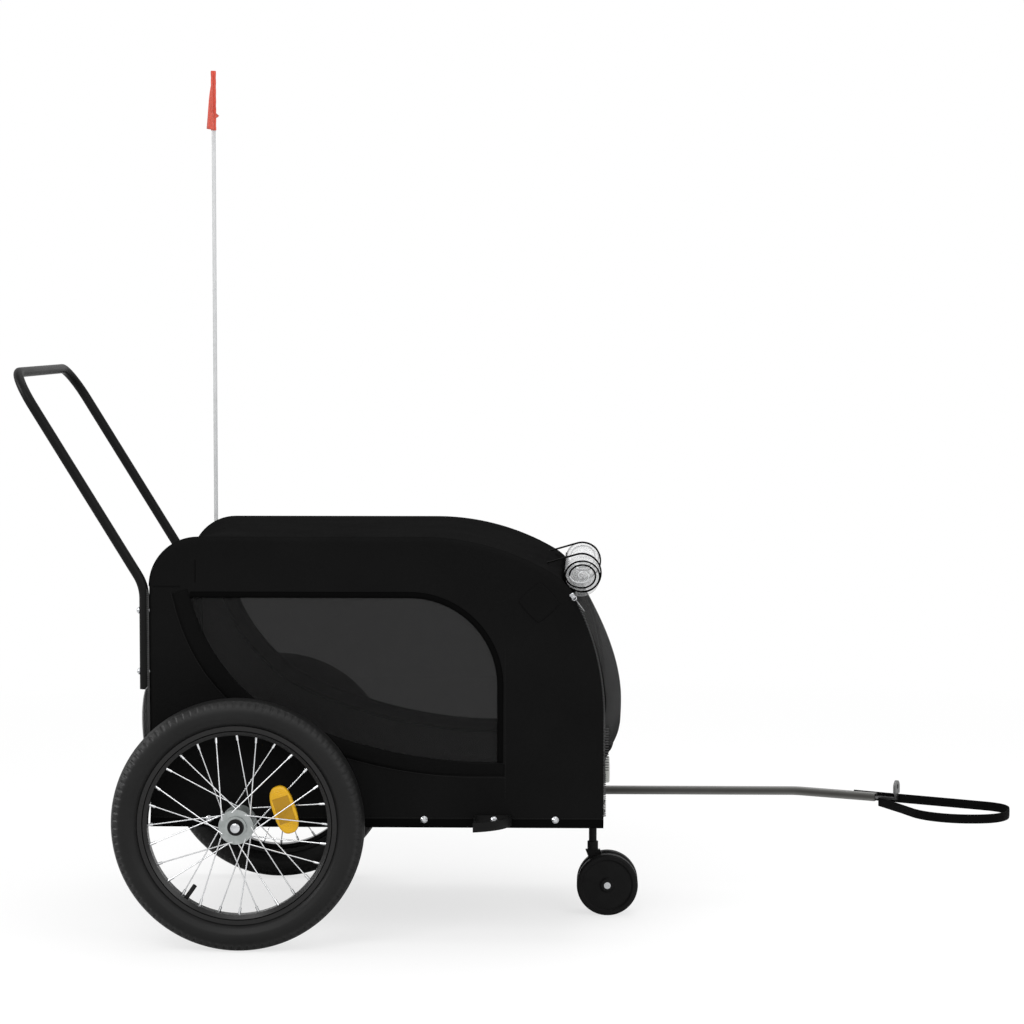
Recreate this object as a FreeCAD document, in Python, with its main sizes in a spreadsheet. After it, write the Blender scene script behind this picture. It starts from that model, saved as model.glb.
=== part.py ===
"""Dog bike trailer: a cloth cabin on a tube frame with two spoked wheels, a caster and a tow arm.

Millimetres, +X towards the hitch, +Y to the trailer's left, +Z up, with the ground at Z = 0.
Places along X are written from the wheel axle, and axle_setback moves them all to the origin.
"""
import FreeCAD
import Part
import Sketcher
import math
import operator
import os
from types import SimpleNamespace

from FreeCAD import Vector

SIZES = {
    # Frame of reference and clearances
    "axle_setback": 438.9,
    "fit_gap": 0.3,
    "running_gap": 0.05,
    "seam_gap": 0.6,
    "overrun": 5,
    # Wheels
    "wheel_stand": 55,
    "tyre_diameter": 400,
    "tyre_width": 46,
    "tyre_wall": 3,
    "rim_diameter": 314,
    "rim_depth": 15,
    "rim_width": 27,
    "rim_wall": 2.4,
    "rim_hollow": 8,
    "spoke_count": 28,
    "spoke_diameter": 2,
    "spoke_sink": 1.5,
    "spoke_spread": 5,
    "spoke_sweep": 53,
    "spoke_phase": 26.26,
    "nipple_diameter": 4.2,
    "nipple_length": 11,
    "hub_length": 58,
    "hub_flange_diameter": 55,
    "hub_flange_spacing": 50,
    "hub_flange_thickness": 3,
    "hub_collar_diameter": 33.4,
    "hub_barrel_diameter": 29,
    "hub_bore": 16,
    "spoke_circle": 47,
    "bearing_diameter": 26.4,
    "bearing_width": 8,
    "valve_diameter": 7,
    "valve_reach": 24,
    "valve_angle": 235,
    "reflector_length": 77,
    "reflector_width": 36,
    "reflector_thickness": 9,
    "reflector_radius": 77,
    "reflector_angle": 18,
    "reflector_clip": 8,
    "reflector_clip_length": 62,
    "reflector_clip_rise": 11,
    # Axles and their push buttons
    "axle_diameter": 12,
    "axle_grip": 66,
    "axle_shoulder": 18,
    "axle_head": 18.4,
    "axle_floor": 1.4,
    "axle_cup": 4,
    "axle_cup_wall": 1.7,
    "bush_diameter": 15,
    "button_travel": 3,
    "button_hold": 0.8,
    "button_cap": 3.2,
    "button_dome": 1.5,
    "button_stem": 5,
    "button_stem_length": 24,
    "button_spring_room": 6,
    # Cabin cloth
    "cover_width": 530,
    "cover_rear": 146,
    "cover_top": 648,
    "cover_bottom": 187,
    "cloth": 2,
    "rear_corner_radius": 78,
    "shoulder_place": 285,
    "shoulder_radius": 407,
    "shoulder_turn": 30,
    "brow_radius": 102,
    "brow_turn": 32,
    "front_radius": 400,
    "front_turn": 28,
    "axle_hole": 24,
    # Mesh windows
    "window_front": 407,
    "window_rear": 80,
    "window_top": 553,
    "window_bottom": 291,
    "window_corner": 140,
    "window_knee": 33,
    "window_knee_height": 382,
    "window_side_radius": 301,
    "window_sill_radius": 772,
    "mesh": 1,
    "mesh_margin": 12,
    # Doors
    "front_door_sill": 277,
    "front_door_bulge": 47,
    "front_door_edge_bulge": 23.8,
    "door_cloth": 2,
    "rear_door_inset": 40,
    "rear_door_top": 562,
    "rear_door_sill": 236,
    "rear_door_bulge": 9,
    # Base frame, hoops and floor
    "rail_size": 18,
    "rail_wall": 1.5,
    "rail_end_gap": 4,
    "rear_bar_place": 120,
    "middle_bar_place": 340,
    "front_bar_inset": 16.68,
    "hoop_diameter": 16,
    "hoop_wall": 1.2,
    "roof_bar_rear": 40,
    "roof_bar_middle": 200,
    "floor_thickness": 4,
    "floor_edge_gap": 3,
    # Frame bolts and wheel guards
    "bolt_diameter": 6,
    "bolt_head": 11,
    "bolt_head_height": 4,
    "bolt_grip": 6,
    "bolt_rear": 52,
    "bolt_middle": 290,
    "bolt_front": 498,
    "guard_rear": 370,
    "guard_length": 59,
    "guard_swing": 80,
    "guard_bar": 3,
    "guard_height": 15,
    "guard_bolt": 401,
    # Push handle
    "handle_diameter": 16,
    "handle_wall": 1.2,
    "handle_foot": 408,
    "handle_corner_height": 570,
    "handle_top": 907,
    "handle_reach": 361,
    "handle_low_radius": 70,
    "handle_high_radius": 62,
    "handle_bolt_low": 434,
    "handle_bolt_high": 531,
    "plug_length": 14,
    "plug_lip": 2.5,
    # Tow arm, coupling tongue and safety strap
    "arm_size": 13,
    "arm_wall": 1.5,
    "arm_inset": 122,
    "arm_tail": 18,
    "arm_corner_place": 907,
    "arm_corner_radius": 40,
    "arm_end_place": 1037,
    "arm_end_inset": 65,
    "tongue_thickness": 4,
    "tongue_sink": 30,
    "tongue_reach": 39,
    "eye_width": 21,
    "eye_height": 20.5,
    "eye_bore": 8.5,
    "strap_width": 15,
    "strap_thickness": 2.6,
    "strap_gap": 0.7,
    "strap_tail": 43,
    "strap_near_tail": 4,
    "strap_reach": 217.34,
    "strap_swell": 196,
    "strap_droop": 1,
    # Caster
    "caster_trail": 24.3,
    "caster_diameter": 102,
    "caster_width": 20,
    "caster_gap": 16,
    "caster_rim": 8,
    "caster_dish": 3,
    "caster_boss": 26,
    "caster_axle": 8,
    "caster_axle_head": 11,
    "caster_axle_head_height": 2.5,
    "caster_post": 13,
    "caster_post_foot": 121,
    "caster_pin": 8,
    "caster_pin_length": 50,
    "caster_collar": 18,
    "caster_collar_height": 14,
    "caster_fin": 12,
    "caster_fin_end": 14,
    "caster_fin_length": 24,
    # Flag
    "pole_diameter": 7,
    "pole_place": 106,
    "pole_stand": 12,
    "pole_foot": 196,
    "pole_top": 1425,
    "flag_height": 104,
    "flag_reach": 80,
    "flag_tail": 58,
    "flag_tail_low": 20,
    "flag_tail_height": 14,
    "flag_cloth": 1.2,
    "flag_sleeve": 11,
    "holder_width": 18,
    "holder_height": 60,
    # Rolled rain cover
    "roll_diameter": 58,
    "roll_inset": 58,
    "roll_lift": 24.85,
    "roll_turn": 36.88,
    "tie_width": 12,
    "tie_cloth": 1.4,
    "tie_inset": 82,
    # Front reflector and zip pulls
    "front_reflector_width": 80,
    "front_reflector_height": 36,
    "front_reflector_lens": 7,
    "front_reflector_base": 4,
    "front_reflector_place": 242,
    "zip_slider_length": 12,
    "zip_slider_width": 8,
    "zip_slider_height": 3.4,
    "zip_tab_length": 20,
    "zip_tab_width": 6,
    "zip_tab_height": 1.6,
    "zip_inset": 1,
    "zip_drop": 4,
    "zip_turn": 52,
}

doc = FreeCAD.newDocument("dog_trailer")
sheet = doc.addObject("Spreadsheet::Sheet", "sizes")
for row, (alias, number) in enumerate(SIZES.items(), start=1):
    sheet.set(f"A{row}", alias)
    sheet.set(f"B{row}", str(number))
    sheet.setAlias(f"B{row}", alias)
doc.recompute()


class Size:
    """A size that is known both as a number and as an expression on the sheet."""

    def __init__(self, number, text):
        self.number = number
        self.text = text

    def __float__(self):
        return float(self.number)

    def joined(self, work, sign, other, swapped=False):
        """This size and another, or a plain ratio, put together by one sign."""
        first, second = (sized(other), self) if swapped else (self, sized(other))
        return Size(work(first.number, second.number), f"({first.text} {sign} {second.text})")

    def __add__(self, other):
        return self.joined(operator.add, "+", other)

    def __radd__(self, other):
        return self.joined(operator.add, "+", other, True)

    def __sub__(self, other):
        return self.joined(operator.sub, "-", other)

    def __rsub__(self, other):
        return self.joined(operator.sub, "-", other, True)

    def __mul__(self, other):
        return self.joined(operator.mul, "*", other)

    def __rmul__(self, other):
        return self.joined(operator.mul, "*", other, True)

    def __truediv__(self, other):
        return self.joined(operator.truediv, "/", other)

    def __neg__(self):
        return Size(-self.number, f"(-{self.text})")


def sized(value):
    """A plain ratio as a size, so that the two can be put together."""
    return value if isinstance(value, Size) else Size(value, f"({value})")


def root(size):
    """Square root of a size."""
    return Size(math.sqrt(size.number), f"sqrt({size.text})")


def sine(angle):
    """Sine of an angle in degrees."""
    return Size(math.sin(math.radians(angle.number)), f"sin({angle.text})")


def cosine(angle):
    """Cosine of an angle in degrees."""
    return Size(math.cos(math.radians(angle.number)), f"cos({angle.text})")


cells = {alias: Size(float(getattr(sheet, alias)), f"sizes.{alias}") for alias in SIZES}
s = SimpleNamespace(**cells)
nodes = []
SIDES = (("right", -1), ("left", 1))


def node(item, label):
    """Keep an object as one of the named sub-parts."""
    item.Label = label
    nodes.append(item)
    return item


def bind(item, **entries):
    """Tie properties of an object to the sheet."""
    for name, size in entries.items():
        item.setExpression(name, sized(size).text)


def place(item, x, y, z):
    """Put the base of an object at a place whose X is measured from the axle."""
    for axis, size in (("x", x - s.axle_setback), ("y", y), ("z", z)):
        item.setExpression(f"Placement.Base.{axis}", sized(size).text)
    return item


def box(x, y, z):
    """A block between two places along each axis."""
    item = doc.addObject("Part::Box", "block")
    bind(item, Length=x[1] - x[0], Width=y[1] - y[0], Height=z[1] - z[0])
    return place(item, x[0], y[0], z[0])


TURNS = {
    "x": FreeCAD.Rotation(Vector(0, 1, 0), 90),
    "y": FreeCAD.Rotation(Vector(1, 0, 0), -90),
    "z": FreeCAD.Rotation(),
}


def rod(radius, length, axis, x, y, z):
    """A round bar that starts at a place and runs along an axis."""
    item = doc.addObject("Part::Cylinder", "rod")
    item.Placement = FreeCAD.Placement(Vector(), TURNS[axis])
    bind(item, Radius=radius, Height=length)
    return place(item, x, y, z)


def cut(base, *tools):
    """A shape with others taken away from it."""
    for tool in tools:
        item = doc.addObject("Part::Cut", "cut")
        item.Base = base
        item.Tool = tool
        base = item
    return base


def fuse(*items):
    """Several shapes joined into one solid."""
    item = doc.addObject("Part::MultiFuse", "union")
    item.Shapes = list(items)
    return item


def group(*items):
    """Several separate solids kept together."""
    item = doc.addObject("Part::Compound", "group")
    item.Links = list(items)
    return item


def drawn(body, role, corners):
    """Draw a closed outline on one of a body's own planes.

    A corner is (u, v), or (u, v, radius, turn) where an arc leaves it: turn 1 bends left, -1 right.
    """
    drawing = body.newObject("Sketcher::SketchObject", "drawing")
    plane = next(item for item in body.Origin.OriginFeatures if item.Role == role)
    drawing.AttachmentSupport = [(plane, "")]
    drawing.MapMode = "FlatFace"
    ends = []
    bends = []
    for index, corner in enumerate(corners):
        after = corners[(index + 1) % len(corners)]
        start = Vector(float(corner[0]), float(corner[1]), 0)
        stop = Vector(float(after[0]), float(after[1]), 0)
        if len(corner) == 2:
            drawing.addGeometry(Part.LineSegment(start, stop), False)
            ends.append((1, 2))
            continue
        radius = float(corner[2])
        turn = corner[3]
        chord = stop - start
        rise = math.sqrt(radius ** 2 - chord.Length ** 2 / 4)
        left = Vector(-chord.y, chord.x, 0).normalize()
        centre = (start + stop) * 0.5 + left * (rise * turn)
        first, last = (start, stop) if turn > 0 else (stop, start)
        begin = math.atan2(first.y - centre.y, first.x - centre.x)
        finish = math.atan2(last.y - centre.y, last.x - centre.x)
        if finish < begin:
            finish += 2 * math.pi
        circle = Part.Circle(centre, Vector(0, 0, 1), radius)
        drawing.addGeometry(Part.ArcOfCircle(circle, begin, finish), False)
        ends.append((1, 2) if turn > 0 else (2, 1))
        bends.append((index, corner[2]))
    for index in range(len(corners)):
        after = (index + 1) % len(corners)
        tie = Sketcher.Constraint("Coincident", index, ends[index][1], after, ends[after][0])
        drawing.addConstraint(tie)
    for index, corner in enumerate(corners):
        for kind, size in zip(("DistanceX", "DistanceY"), corner):
            rule = Sketcher.Constraint(kind, -1, 1, index, ends[index][0], float(size))
            number = drawing.addConstraint(rule)
            drawing.setExpression(f"Constraints[{number}]", sized(size).text)
    for index, size in bends:
        number = drawing.addConstraint(Sketcher.Constraint("Radius", index, float(size)))
        drawing.setExpression(f"Constraints[{number}]", sized(size).text)
    return drawing


def padded(role, corners, depth):
    """A body that is one outline raised by a depth."""
    body = doc.addObject("PartDesign::Body", "body")
    pad = body.newObject("PartDesign::Pad", "pad")
    pad.Profile = drawn(body, role, corners)
    bind(pad, Length=depth)
    body.Tip = pad
    return body


def pocketed(body, role, corners):
    """Cut an outline right through a raised body."""
    doc.recompute()
    before = body.Shape.Volume
    pocket = body.newObject("PartDesign::Pocket", "pocket")
    pocket.Profile = drawn(body, role, corners)
    pocket.Type = "ThroughAll"
    pocket.Reversed = True
    body.Tip = pocket
    doc.recompute()
    if body.Shape.Volume >= before:
        raise RuntimeError("a pocket cut nothing")
    return body


def turned(corners):
    """A body of revolution about Y; its outline holds a radius and a place along Y."""
    body = doc.addObject("PartDesign::Body", "body")
    drawing = drawn(body, "XY_Plane", corners)
    turn = body.newObject("PartDesign::Revolution", "turn")
    turn.Profile = drawing
    turn.ReferenceAxis = (drawing, ["V_Axis"])
    turn.Angle = 360
    body.Tip = turn
    return body


def feature(shape, label):
    """A named sub-part whose shape is worked out in axle places."""
    item = doc.addObject("Part::Feature", "piece")
    item.Shape = shape
    setback = FreeCAD.Placement(Vector(-float(s.axle_setback), 0, 0), FreeCAD.Rotation())
    item.Placement = setback.multiply(shape.Placement)
    return node(item, label)


def vector(x, y, z):
    """A point from three sizes."""
    return Vector(float(x), float(y), float(z))


def rounded(points, radii):
    """Straight runs through points, with a tangent arc of each radius at the inner ones."""
    edges = []
    last = points[0]
    for before, corner, after, radius in zip(points, points[1:], points[2:], radii):
        back = (before - corner).normalize()
        onward = (after - corner).normalize()
        half = back.getAngle(onward) / 2
        reach = radius / math.tan(half)
        middle = (back + onward).normalize()
        crest = corner + middle * (radius / math.sin(half) - radius)
        start = corner + back * reach
        stop = corner + onward * reach
        edges.append(Part.LineSegment(last, start).toShape())
        edges.append(Part.Arc(start, crest, stop).toShape())
        last = stop
    edges.append(Part.LineSegment(last, points[-1]).toShape())
    return Part.Wire(edges)


def round_pipe(path, diameter, wall):
    """A hollow round tube along a path of lines and arcs."""
    first = path.Edges[0]
    start = first.valueAt(first.FirstParameter)
    along = first.tangentAt(first.FirstParameter)
    shells = []
    for radius in (diameter / 2, diameter / 2 - wall):
        ring = Part.Wire(Part.Circle(start, along, radius).toShape())
        shells.append(path.makePipeShell([ring], True, False))
    return shells[0].cut(shells[1])


def bar_pipe(path, width, height):
    """A bar of upright oblong section along a level path."""
    first = path.Edges[0]
    start = first.valueAt(first.FirstParameter)
    along = first.tangentAt(first.FirstParameter)
    side = Vector(-along.y, along.x, 0) * (width / 2)
    lift = Vector(0, 0, height / 2)
    corners = [start + side + lift, start - side + lift, start - side - lift, start + side - lift]
    return path.makePipeShell([Part.makePolygon(corners + corners[:1])], True, False)


def bolt(head, direction, grip):
    """A round-headed bolt: the head's seat, the way the shank points and the shank's length."""
    radius = float(s.bolt_head) / 2
    height = float(s.bolt_head_height)
    shank = float(s.bolt_diameter) / 2
    crown = Vector(radius / 2, 0, height)
    edges = [
        Part.LineSegment(Vector(0, 0, -grip), Vector(shank, 0, -grip)).toShape(),
        Part.LineSegment(Vector(shank, 0, -grip), Vector(shank, 0, 0)).toShape(),
        Part.LineSegment(Vector(shank, 0, 0), Vector(radius, 0, 0)).toShape(),
        Part.LineSegment(Vector(radius, 0, 0), Vector(radius, 0, height / 3)).toShape(),
        Part.LineSegment(Vector(radius, 0, height / 3), crown).toShape(),
        Part.LineSegment(crown, Vector(0, 0, height)).toShape(),
        Part.LineSegment(Vector(0, 0, height), Vector(0, 0, -grip)).toShape(),
    ]
    shape = Part.Face(Part.Wire(edges)).revolve(Vector(), Vector(0, 0, 1), 360)
    shape.Placement = FreeCAD.Placement(head, FreeCAD.Rotation(Vector(0, 0, -1), direction))
    return shape


# Shared places across the frame
zero = sized(0) * s.cloth
axle_height = s.tyre_diameter / 2
panel_face = s.cover_width / 2
wheel_middle = panel_face + s.wheel_stand
pole_line = panel_face + s.pole_stand
arm_line = panel_face - s.arm_inset
panel_back = panel_face - s.cloth
rail_face = panel_back - s.fit_gap
rail_line = rail_face - s.rail_size / 2
rail_back = rail_face - s.rail_size
rail_top = axle_height + s.rail_size / 2
rail_under = axle_height - s.rail_size / 2
cloth_half = panel_back - s.fit_gap
hoop_inset = s.cloth + s.fit_gap + s.hoop_diameter / 2
bush_radius = s.bush_diameter / 2


def cover_corners(inset):
    """Corners of the cabin's side outline, moved inwards by an inset.

    Straight back, rear corner arc, flat roof, then three arcs and a straight foot at the front,
    each meeting the next without a kink.
    """
    first = 90 - s.shoulder_turn
    second = first - s.brow_turn
    third = second - s.front_turn
    shoulder_height = s.cover_top - s.shoulder_radius
    brow_x = s.shoulder_place + (s.shoulder_radius - s.brow_radius) * cosine(first)
    brow_z = shoulder_height + (s.shoulder_radius - s.brow_radius) * sine(first)
    front_x = brow_x + (s.brow_radius - s.front_radius) * cosine(second)
    front_z = brow_z + (s.brow_radius - s.front_radius) * sine(second)
    chin = (
        front_x + (s.front_radius - inset) * cosine(third),
        front_z + (s.front_radius - inset) * sine(third),
    )
    lean = sine(third) / cosine(third)
    return SimpleNamespace(
        rear_foot=(inset - s.cover_rear, s.cover_bottom),
        rear_spring=(inset - s.cover_rear, s.cover_top - s.rear_corner_radius),
        rear_crown=(s.rear_corner_radius - s.cover_rear, s.cover_top - inset),
        shoulder=(s.shoulder_place, s.cover_top - inset),
        brow=(
            s.shoulder_place + (s.shoulder_radius - inset) * cosine(first),
            shoulder_height + (s.shoulder_radius - inset) * sine(first),
        ),
        visor=(
            brow_x + (s.brow_radius - inset) * cosine(second),
            brow_z + (s.brow_radius - inset) * sine(second),
        ),
        chin=chin,
        front_foot=(chin[0] + (chin[1] - s.cover_bottom) * lean, s.cover_bottom),
        corner_radius=s.rear_corner_radius - inset,
        shoulder_radius=s.shoulder_radius - inset,
        brow_radius=s.brow_radius - inset,
        front_radius=s.front_radius - inset,
        lean=lean,
        brow_centre=(brow_x, brow_z),
    )


outer = cover_corners(zero)
inner = cover_corners(s.cloth)
grown = cover_corners(-s.fit_gap)
front_bar_place = outer.front_foot[0] - s.front_bar_inset


def side_outline(edge):
    """The whole side of the cabin as one closed outline."""
    return [
        edge.rear_foot,
        edge.front_foot,
        (*edge.chin, edge.front_radius, 1),
        (*edge.visor, edge.brow_radius, 1),
        (*edge.brow, edge.shoulder_radius, 1),
        edge.shoulder,
        (*edge.rear_crown, edge.corner_radius, 1),
        edge.rear_spring,
    ]


def window_outline(margin):
    """The side window, grown by a margin: flat top, round front corner and a swept rear sill."""
    front = s.window_front + margin
    top = s.window_top + margin
    corner = s.window_corner + margin
    knee = (s.window_knee - margin * 0.6, s.window_knee_height - margin * 0.8)
    return [
        (front, s.window_bottom - margin),
        (front, s.window_top - s.window_corner, corner, 1),
        (s.window_front - s.window_corner, top),
        (-s.window_rear - margin, top, s.window_side_radius + margin, 1),
        (*knee, s.window_sill_radius + margin, 1),
    ]


def hole_outline(diameter, x, z):
    """A round hole drawn as four quarter circles."""
    radius = diameter / 2
    return [
        (x - radius, z, radius, 1),
        (x, z - radius, radius, 1),
        (x + radius, z, radius, 1),
        (x, z + radius, radius, 1),
    ]


# Base rails, crossbars and the bushes that take the axles
rail_rear = -s.cover_rear + s.rail_end_gap
rail_front = inner.front_foot[0] - s.rail_end_gap
for side, sign in SIDES:
    across = (sign * rail_line - s.rail_size / 2, sign * rail_line + s.rail_size / 2)
    hollow = (across[0] + s.rail_wall, across[1] - s.rail_wall)
    rail = box((rail_rear, rail_front), across, (rail_under, rail_top))
    core = box(
        (rail_rear - s.overrun, rail_front + s.overrun),
        hollow,
        (rail_under + s.rail_wall, rail_top - s.rail_wall),
    )
    bush_hole = rod(
        bush_radius, s.rail_size + 2 * s.overrun, "y", zero, across[0] - s.overrun, axle_height
    )
    node(cut(rail, core, bush_hole), f"base_rail_{side}")

bars = []
for middle in (-s.rear_bar_place, zero, s.middle_bar_place, front_bar_place):
    along = (middle - s.rail_size / 2, middle + s.rail_size / 2)
    bar = box(along, (-rail_back, rail_back), (rail_under, rail_top))
    core = box(
        (along[0] + s.rail_wall, along[1] - s.rail_wall),
        (-rail_back - s.overrun, rail_back + s.overrun),
        (rail_under + s.rail_wall, rail_top - s.rail_wall),
    )
    bars.append(cut(bar, core))
node(group(*bars), "base_crossbars")

bush_length = s.axle_grip + s.running_gap
bushes = []
for side, sign in SIDES:
    start = rail_face - bush_length if sign > 0 else -rail_face
    bush = rod(bush_radius, bush_length, "y", zero, start, axle_height)
    bore = rod(
        s.axle_diameter / 2 + s.running_gap,
        bush_length + 2 * s.overrun,
        "y",
        zero,
        start - s.overrun,
        axle_height,
    )
    bushes.append(cut(bush, bore))
node(group(*bushes), "axle_bushes")

# Side hoops, roof crossbars and floor
hoop = cover_corners(hoop_inset)


def arc_edge(first, second, radius):
    """An arc in the X-Z plane that bends left from one point to the next."""
    chord = second - first
    normal = Vector(-chord.z, 0, chord.x).normalize()
    sag = radius - math.sqrt(radius ** 2 - chord.Length ** 2 / 4)
    return Part.Arc(first, (first + second) * 0.5 - normal * sag, second).toShape()


for side, sign in SIDES:
    level = float(sign * rail_line)
    spots = {}
    for name in ("rear_spring", "rear_crown", "shoulder", "brow", "visor", "chin"):
        spot = getattr(hoop, name)
        spots[name] = vector(spot[0], level, spot[1])
    front_foot = vector(hoop.chin[0] + (hoop.chin[1] - rail_top) * hoop.lean, level, rail_top)
    rear_foot = vector(hoop.rear_spring[0], level, rail_top)
    base_path = Part.Wire([
        Part.LineSegment(front_foot, spots["chin"]).toShape(),
        arc_edge(spots["chin"], spots["visor"], float(hoop.front_radius)),
        arc_edge(spots["visor"], spots["brow"], float(hoop.brow_radius)),
        arc_edge(spots["brow"], spots["shoulder"], float(hoop.shoulder_radius)),
        Part.LineSegment(spots["shoulder"], spots["rear_crown"]).toShape(),
        arc_edge(spots["rear_crown"], spots["rear_spring"], float(hoop.corner_radius)),
        Part.LineSegment(spots["rear_spring"], rear_foot).toShape(),
    ])
    tube = round_pipe(base_path, float(s.hoop_diameter), float(s.hoop_wall))
    # The slanted front foot is trimmed level where it stands on the rail
    span = float(s.cover_width)
    trim = Part.makeBox(span * 3, span, float(rail_top), vector(-s.cover_width, level - span / 2, 0))
    feature(tube.cut(trim), f"side_hoop_{side}")

hoop_radius = s.hoop_diameter / 2
bar_half = rail_line - hoop_radius - s.fit_gap
bars = []
for x, z in (
    (-s.roof_bar_rear, hoop.shoulder[1]),
    (s.roof_bar_middle, hoop.shoulder[1]),
    hoop.brow,
):
    bar = rod(hoop_radius, 2 * bar_half, "y", x, -bar_half, z)
    bore = rod(hoop_radius - s.hoop_wall, 2 * (bar_half + s.overrun), "y", x, -bar_half - s.overrun, z)
    bars.append(cut(bar, bore))
node(group(*bars), "roof_crossbars")

floor_half = rail_line - hoop_radius - s.floor_edge_gap
floor = box(
    (-s.cover_rear + s.cloth + s.floor_edge_gap, inner.front_foot[0] - s.floor_edge_gap),
    (-floor_half, floor_half),
    (rail_top, rail_top + s.floor_thickness),
)
node(floor, "floor_board")

# Side panels with their window openings, and the mesh behind them
for side, sign in SIDES:
    panel = padded("XZ_Plane", side_outline(outer), s.cloth)
    pocketed(panel, "XZ_Plane", window_outline(zero))
    pocketed(panel, "XZ_Plane", hole_outline(s.axle_hole, zero, axle_height))
    place(panel, zero, panel_face if sign > 0 else -panel_back, 0)
    node(panel, f"side_panel_{side}")
    mesh = padded("XZ_Plane", window_outline(s.mesh_margin), s.mesh)
    place(mesh, zero, panel_back if sign > 0 else s.mesh - panel_back, 0)
    node(mesh, f"side_window_{side}")

# Roof from the rear corner over the shoulder to the seam above the front door
roof = padded(
    "XZ_Plane",
    [
        (*outer.visor, outer.brow_radius, 1),
        (*outer.brow, outer.shoulder_radius, 1),
        outer.shoulder,
        (*outer.rear_crown, outer.corner_radius, 1),
        outer.rear_spring,
        (*inner.rear_spring, inner.corner_radius, -1),
        inner.rear_crown,
        (*inner.shoulder, inner.shoulder_radius, -1),
        (*inner.brow, inner.brow_radius, -1),
        inner.visor,
    ],
    2 * cloth_half,
)
place(roof, zero, cloth_half, 0)
node(roof, "roof_panel")

# Front lower panel and rear panel
sill = s.front_door_sill - s.seam_gap
sill_outer = outer.front_foot[0] - (sill - s.cover_bottom) * outer.lean
sill_inner = inner.front_foot[0] - (sill - s.cover_bottom) * inner.lean
apron_foot = rail_under + s.fit_gap
apron_rise = apron_foot - s.cover_bottom
apron = padded(
    "XZ_Plane",
    [
        (outer.front_foot[0] - apron_rise * outer.lean, apron_foot),
        (sill_outer, sill),
        (sill_inner, sill),
        (inner.front_foot[0] - apron_rise * inner.lean, apron_foot),
    ],
    2 * cloth_half,
)
place(apron, zero, cloth_half, 0)
node(apron, "front_lower_panel")

rear_half = panel_face - s.rear_door_inset
rear_sheet = box(
    (-s.cover_rear, s.cloth - s.cover_rear),
    (-cloth_half, cloth_half),
    (s.cover_bottom, outer.rear_spring[1]),
)
rear_mouth = box(
    (-s.cover_rear - s.overrun, s.cloth - s.cover_rear + s.overrun),
    (-rear_half, rear_half),
    (s.rear_door_sill, s.rear_door_top),
)
node(cut(rear_sheet, rear_mouth), "rear_panel")


def bowed_sheet(top, foot, half, bulges, cloth, outward):
    """A cloth door that bows outwards most in its middle.

    Each section is a shallow arc from top to foot; its rise is read across the width from bulges.
    """
    wires = []
    run = foot - top
    normal = Vector(-run.z, 0, run.x).normalize()
    if normal.x * outward < 0:
        normal = -normal
    for index, bulge in enumerate(bulges):
        shift = Vector(0, half * (2 * index / (len(bulges) - 1) - 1), 0)
        crest = (top + foot) * 0.5 + normal * bulge
        back = normal * -cloth
        wires.append(Part.Wire([
            Part.Arc(top + shift, crest + shift, foot + shift).toShape(),
            Part.LineSegment(foot + shift, foot + shift + back).toShape(),
            Part.Arc(foot + shift + back, crest + shift + back, top + shift + back).toShape(),
            Part.LineSegment(top + shift + back, top + shift).toShape(),
        ]))
    return Part.makeLoft(wires, True, False)


# Front and rear mesh doors, each hung from its top seam
BOW_SHARES = (0.0, 0.44, 0.75, 0.94, 1.0, 0.94, 0.75, 0.44, 0.0)
door_cloth = float(s.door_cloth)
door_half = float(cloth_half - s.seam_gap)
top_point = vector(outer.visor[0] + s.fit_gap, 0, outer.visor[1] - s.seam_gap * 2)
foot_lean = outer.front_foot[0] - (s.front_door_sill - s.cover_bottom) * outer.lean
foot_point = vector(foot_lean, 0, s.front_door_sill)
edge_bulge = float(s.front_door_edge_bulge)
more_bulge = float(s.front_door_bulge) - edge_bulge
bulges = [edge_bulge + more_bulge * share for share in BOW_SHARES]
feature(bowed_sheet(top_point, foot_point, door_half, bulges, door_cloth, 1), "front_door")

top_point = vector(-s.cover_rear, 0, s.rear_door_top - s.seam_gap)
foot_point = vector(-s.cover_rear, 0, s.rear_door_sill + s.seam_gap)
bulges = [door_cloth / 2 + float(s.rear_door_bulge) * share for share in BOW_SHARES]
half = float(rear_half - s.seam_gap)
feature(bowed_sheet(top_point, foot_point, half, bulges, door_cloth, -1), "rear_door")

# Rolled rain cover on the brow of the roof, and the two ties that hold it
roll_radius = s.roll_diameter / 2
roll_half = panel_face - s.roll_inset
roll_out = s.brow_radius + s.roll_lift
roll_x = outer.brow_centre[0] + roll_out * cosine(s.roll_turn)
roll_z = outer.brow_centre[1] + roll_out * sine(s.roll_turn)
brow_block = padded("XZ_Plane", side_outline(grown), s.cover_width)
place(brow_block, zero, s.cover_width / 2, 0)
roll = rod(roll_radius, 2 * roll_half, "y", roll_x, -roll_half, roll_z)
node(cut(roll, brow_block), "rain_cover_roll")
ties = []
tie_inner = roll_radius + s.fit_gap
for sign in (-1, 1):
    start = sign * (roll_half - s.tie_inset) - s.tie_width / 2
    band = rod(tie_inner + s.tie_cloth, s.tie_width, "y", roll_x, start, roll_z)
    bore = rod(tie_inner, s.tie_width + 2 * s.overrun, "y", roll_x, start - s.overrun, roll_z)
    ties.append(cut(band, bore, brow_block))
node(group(*ties), "rain_cover_ties")

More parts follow.
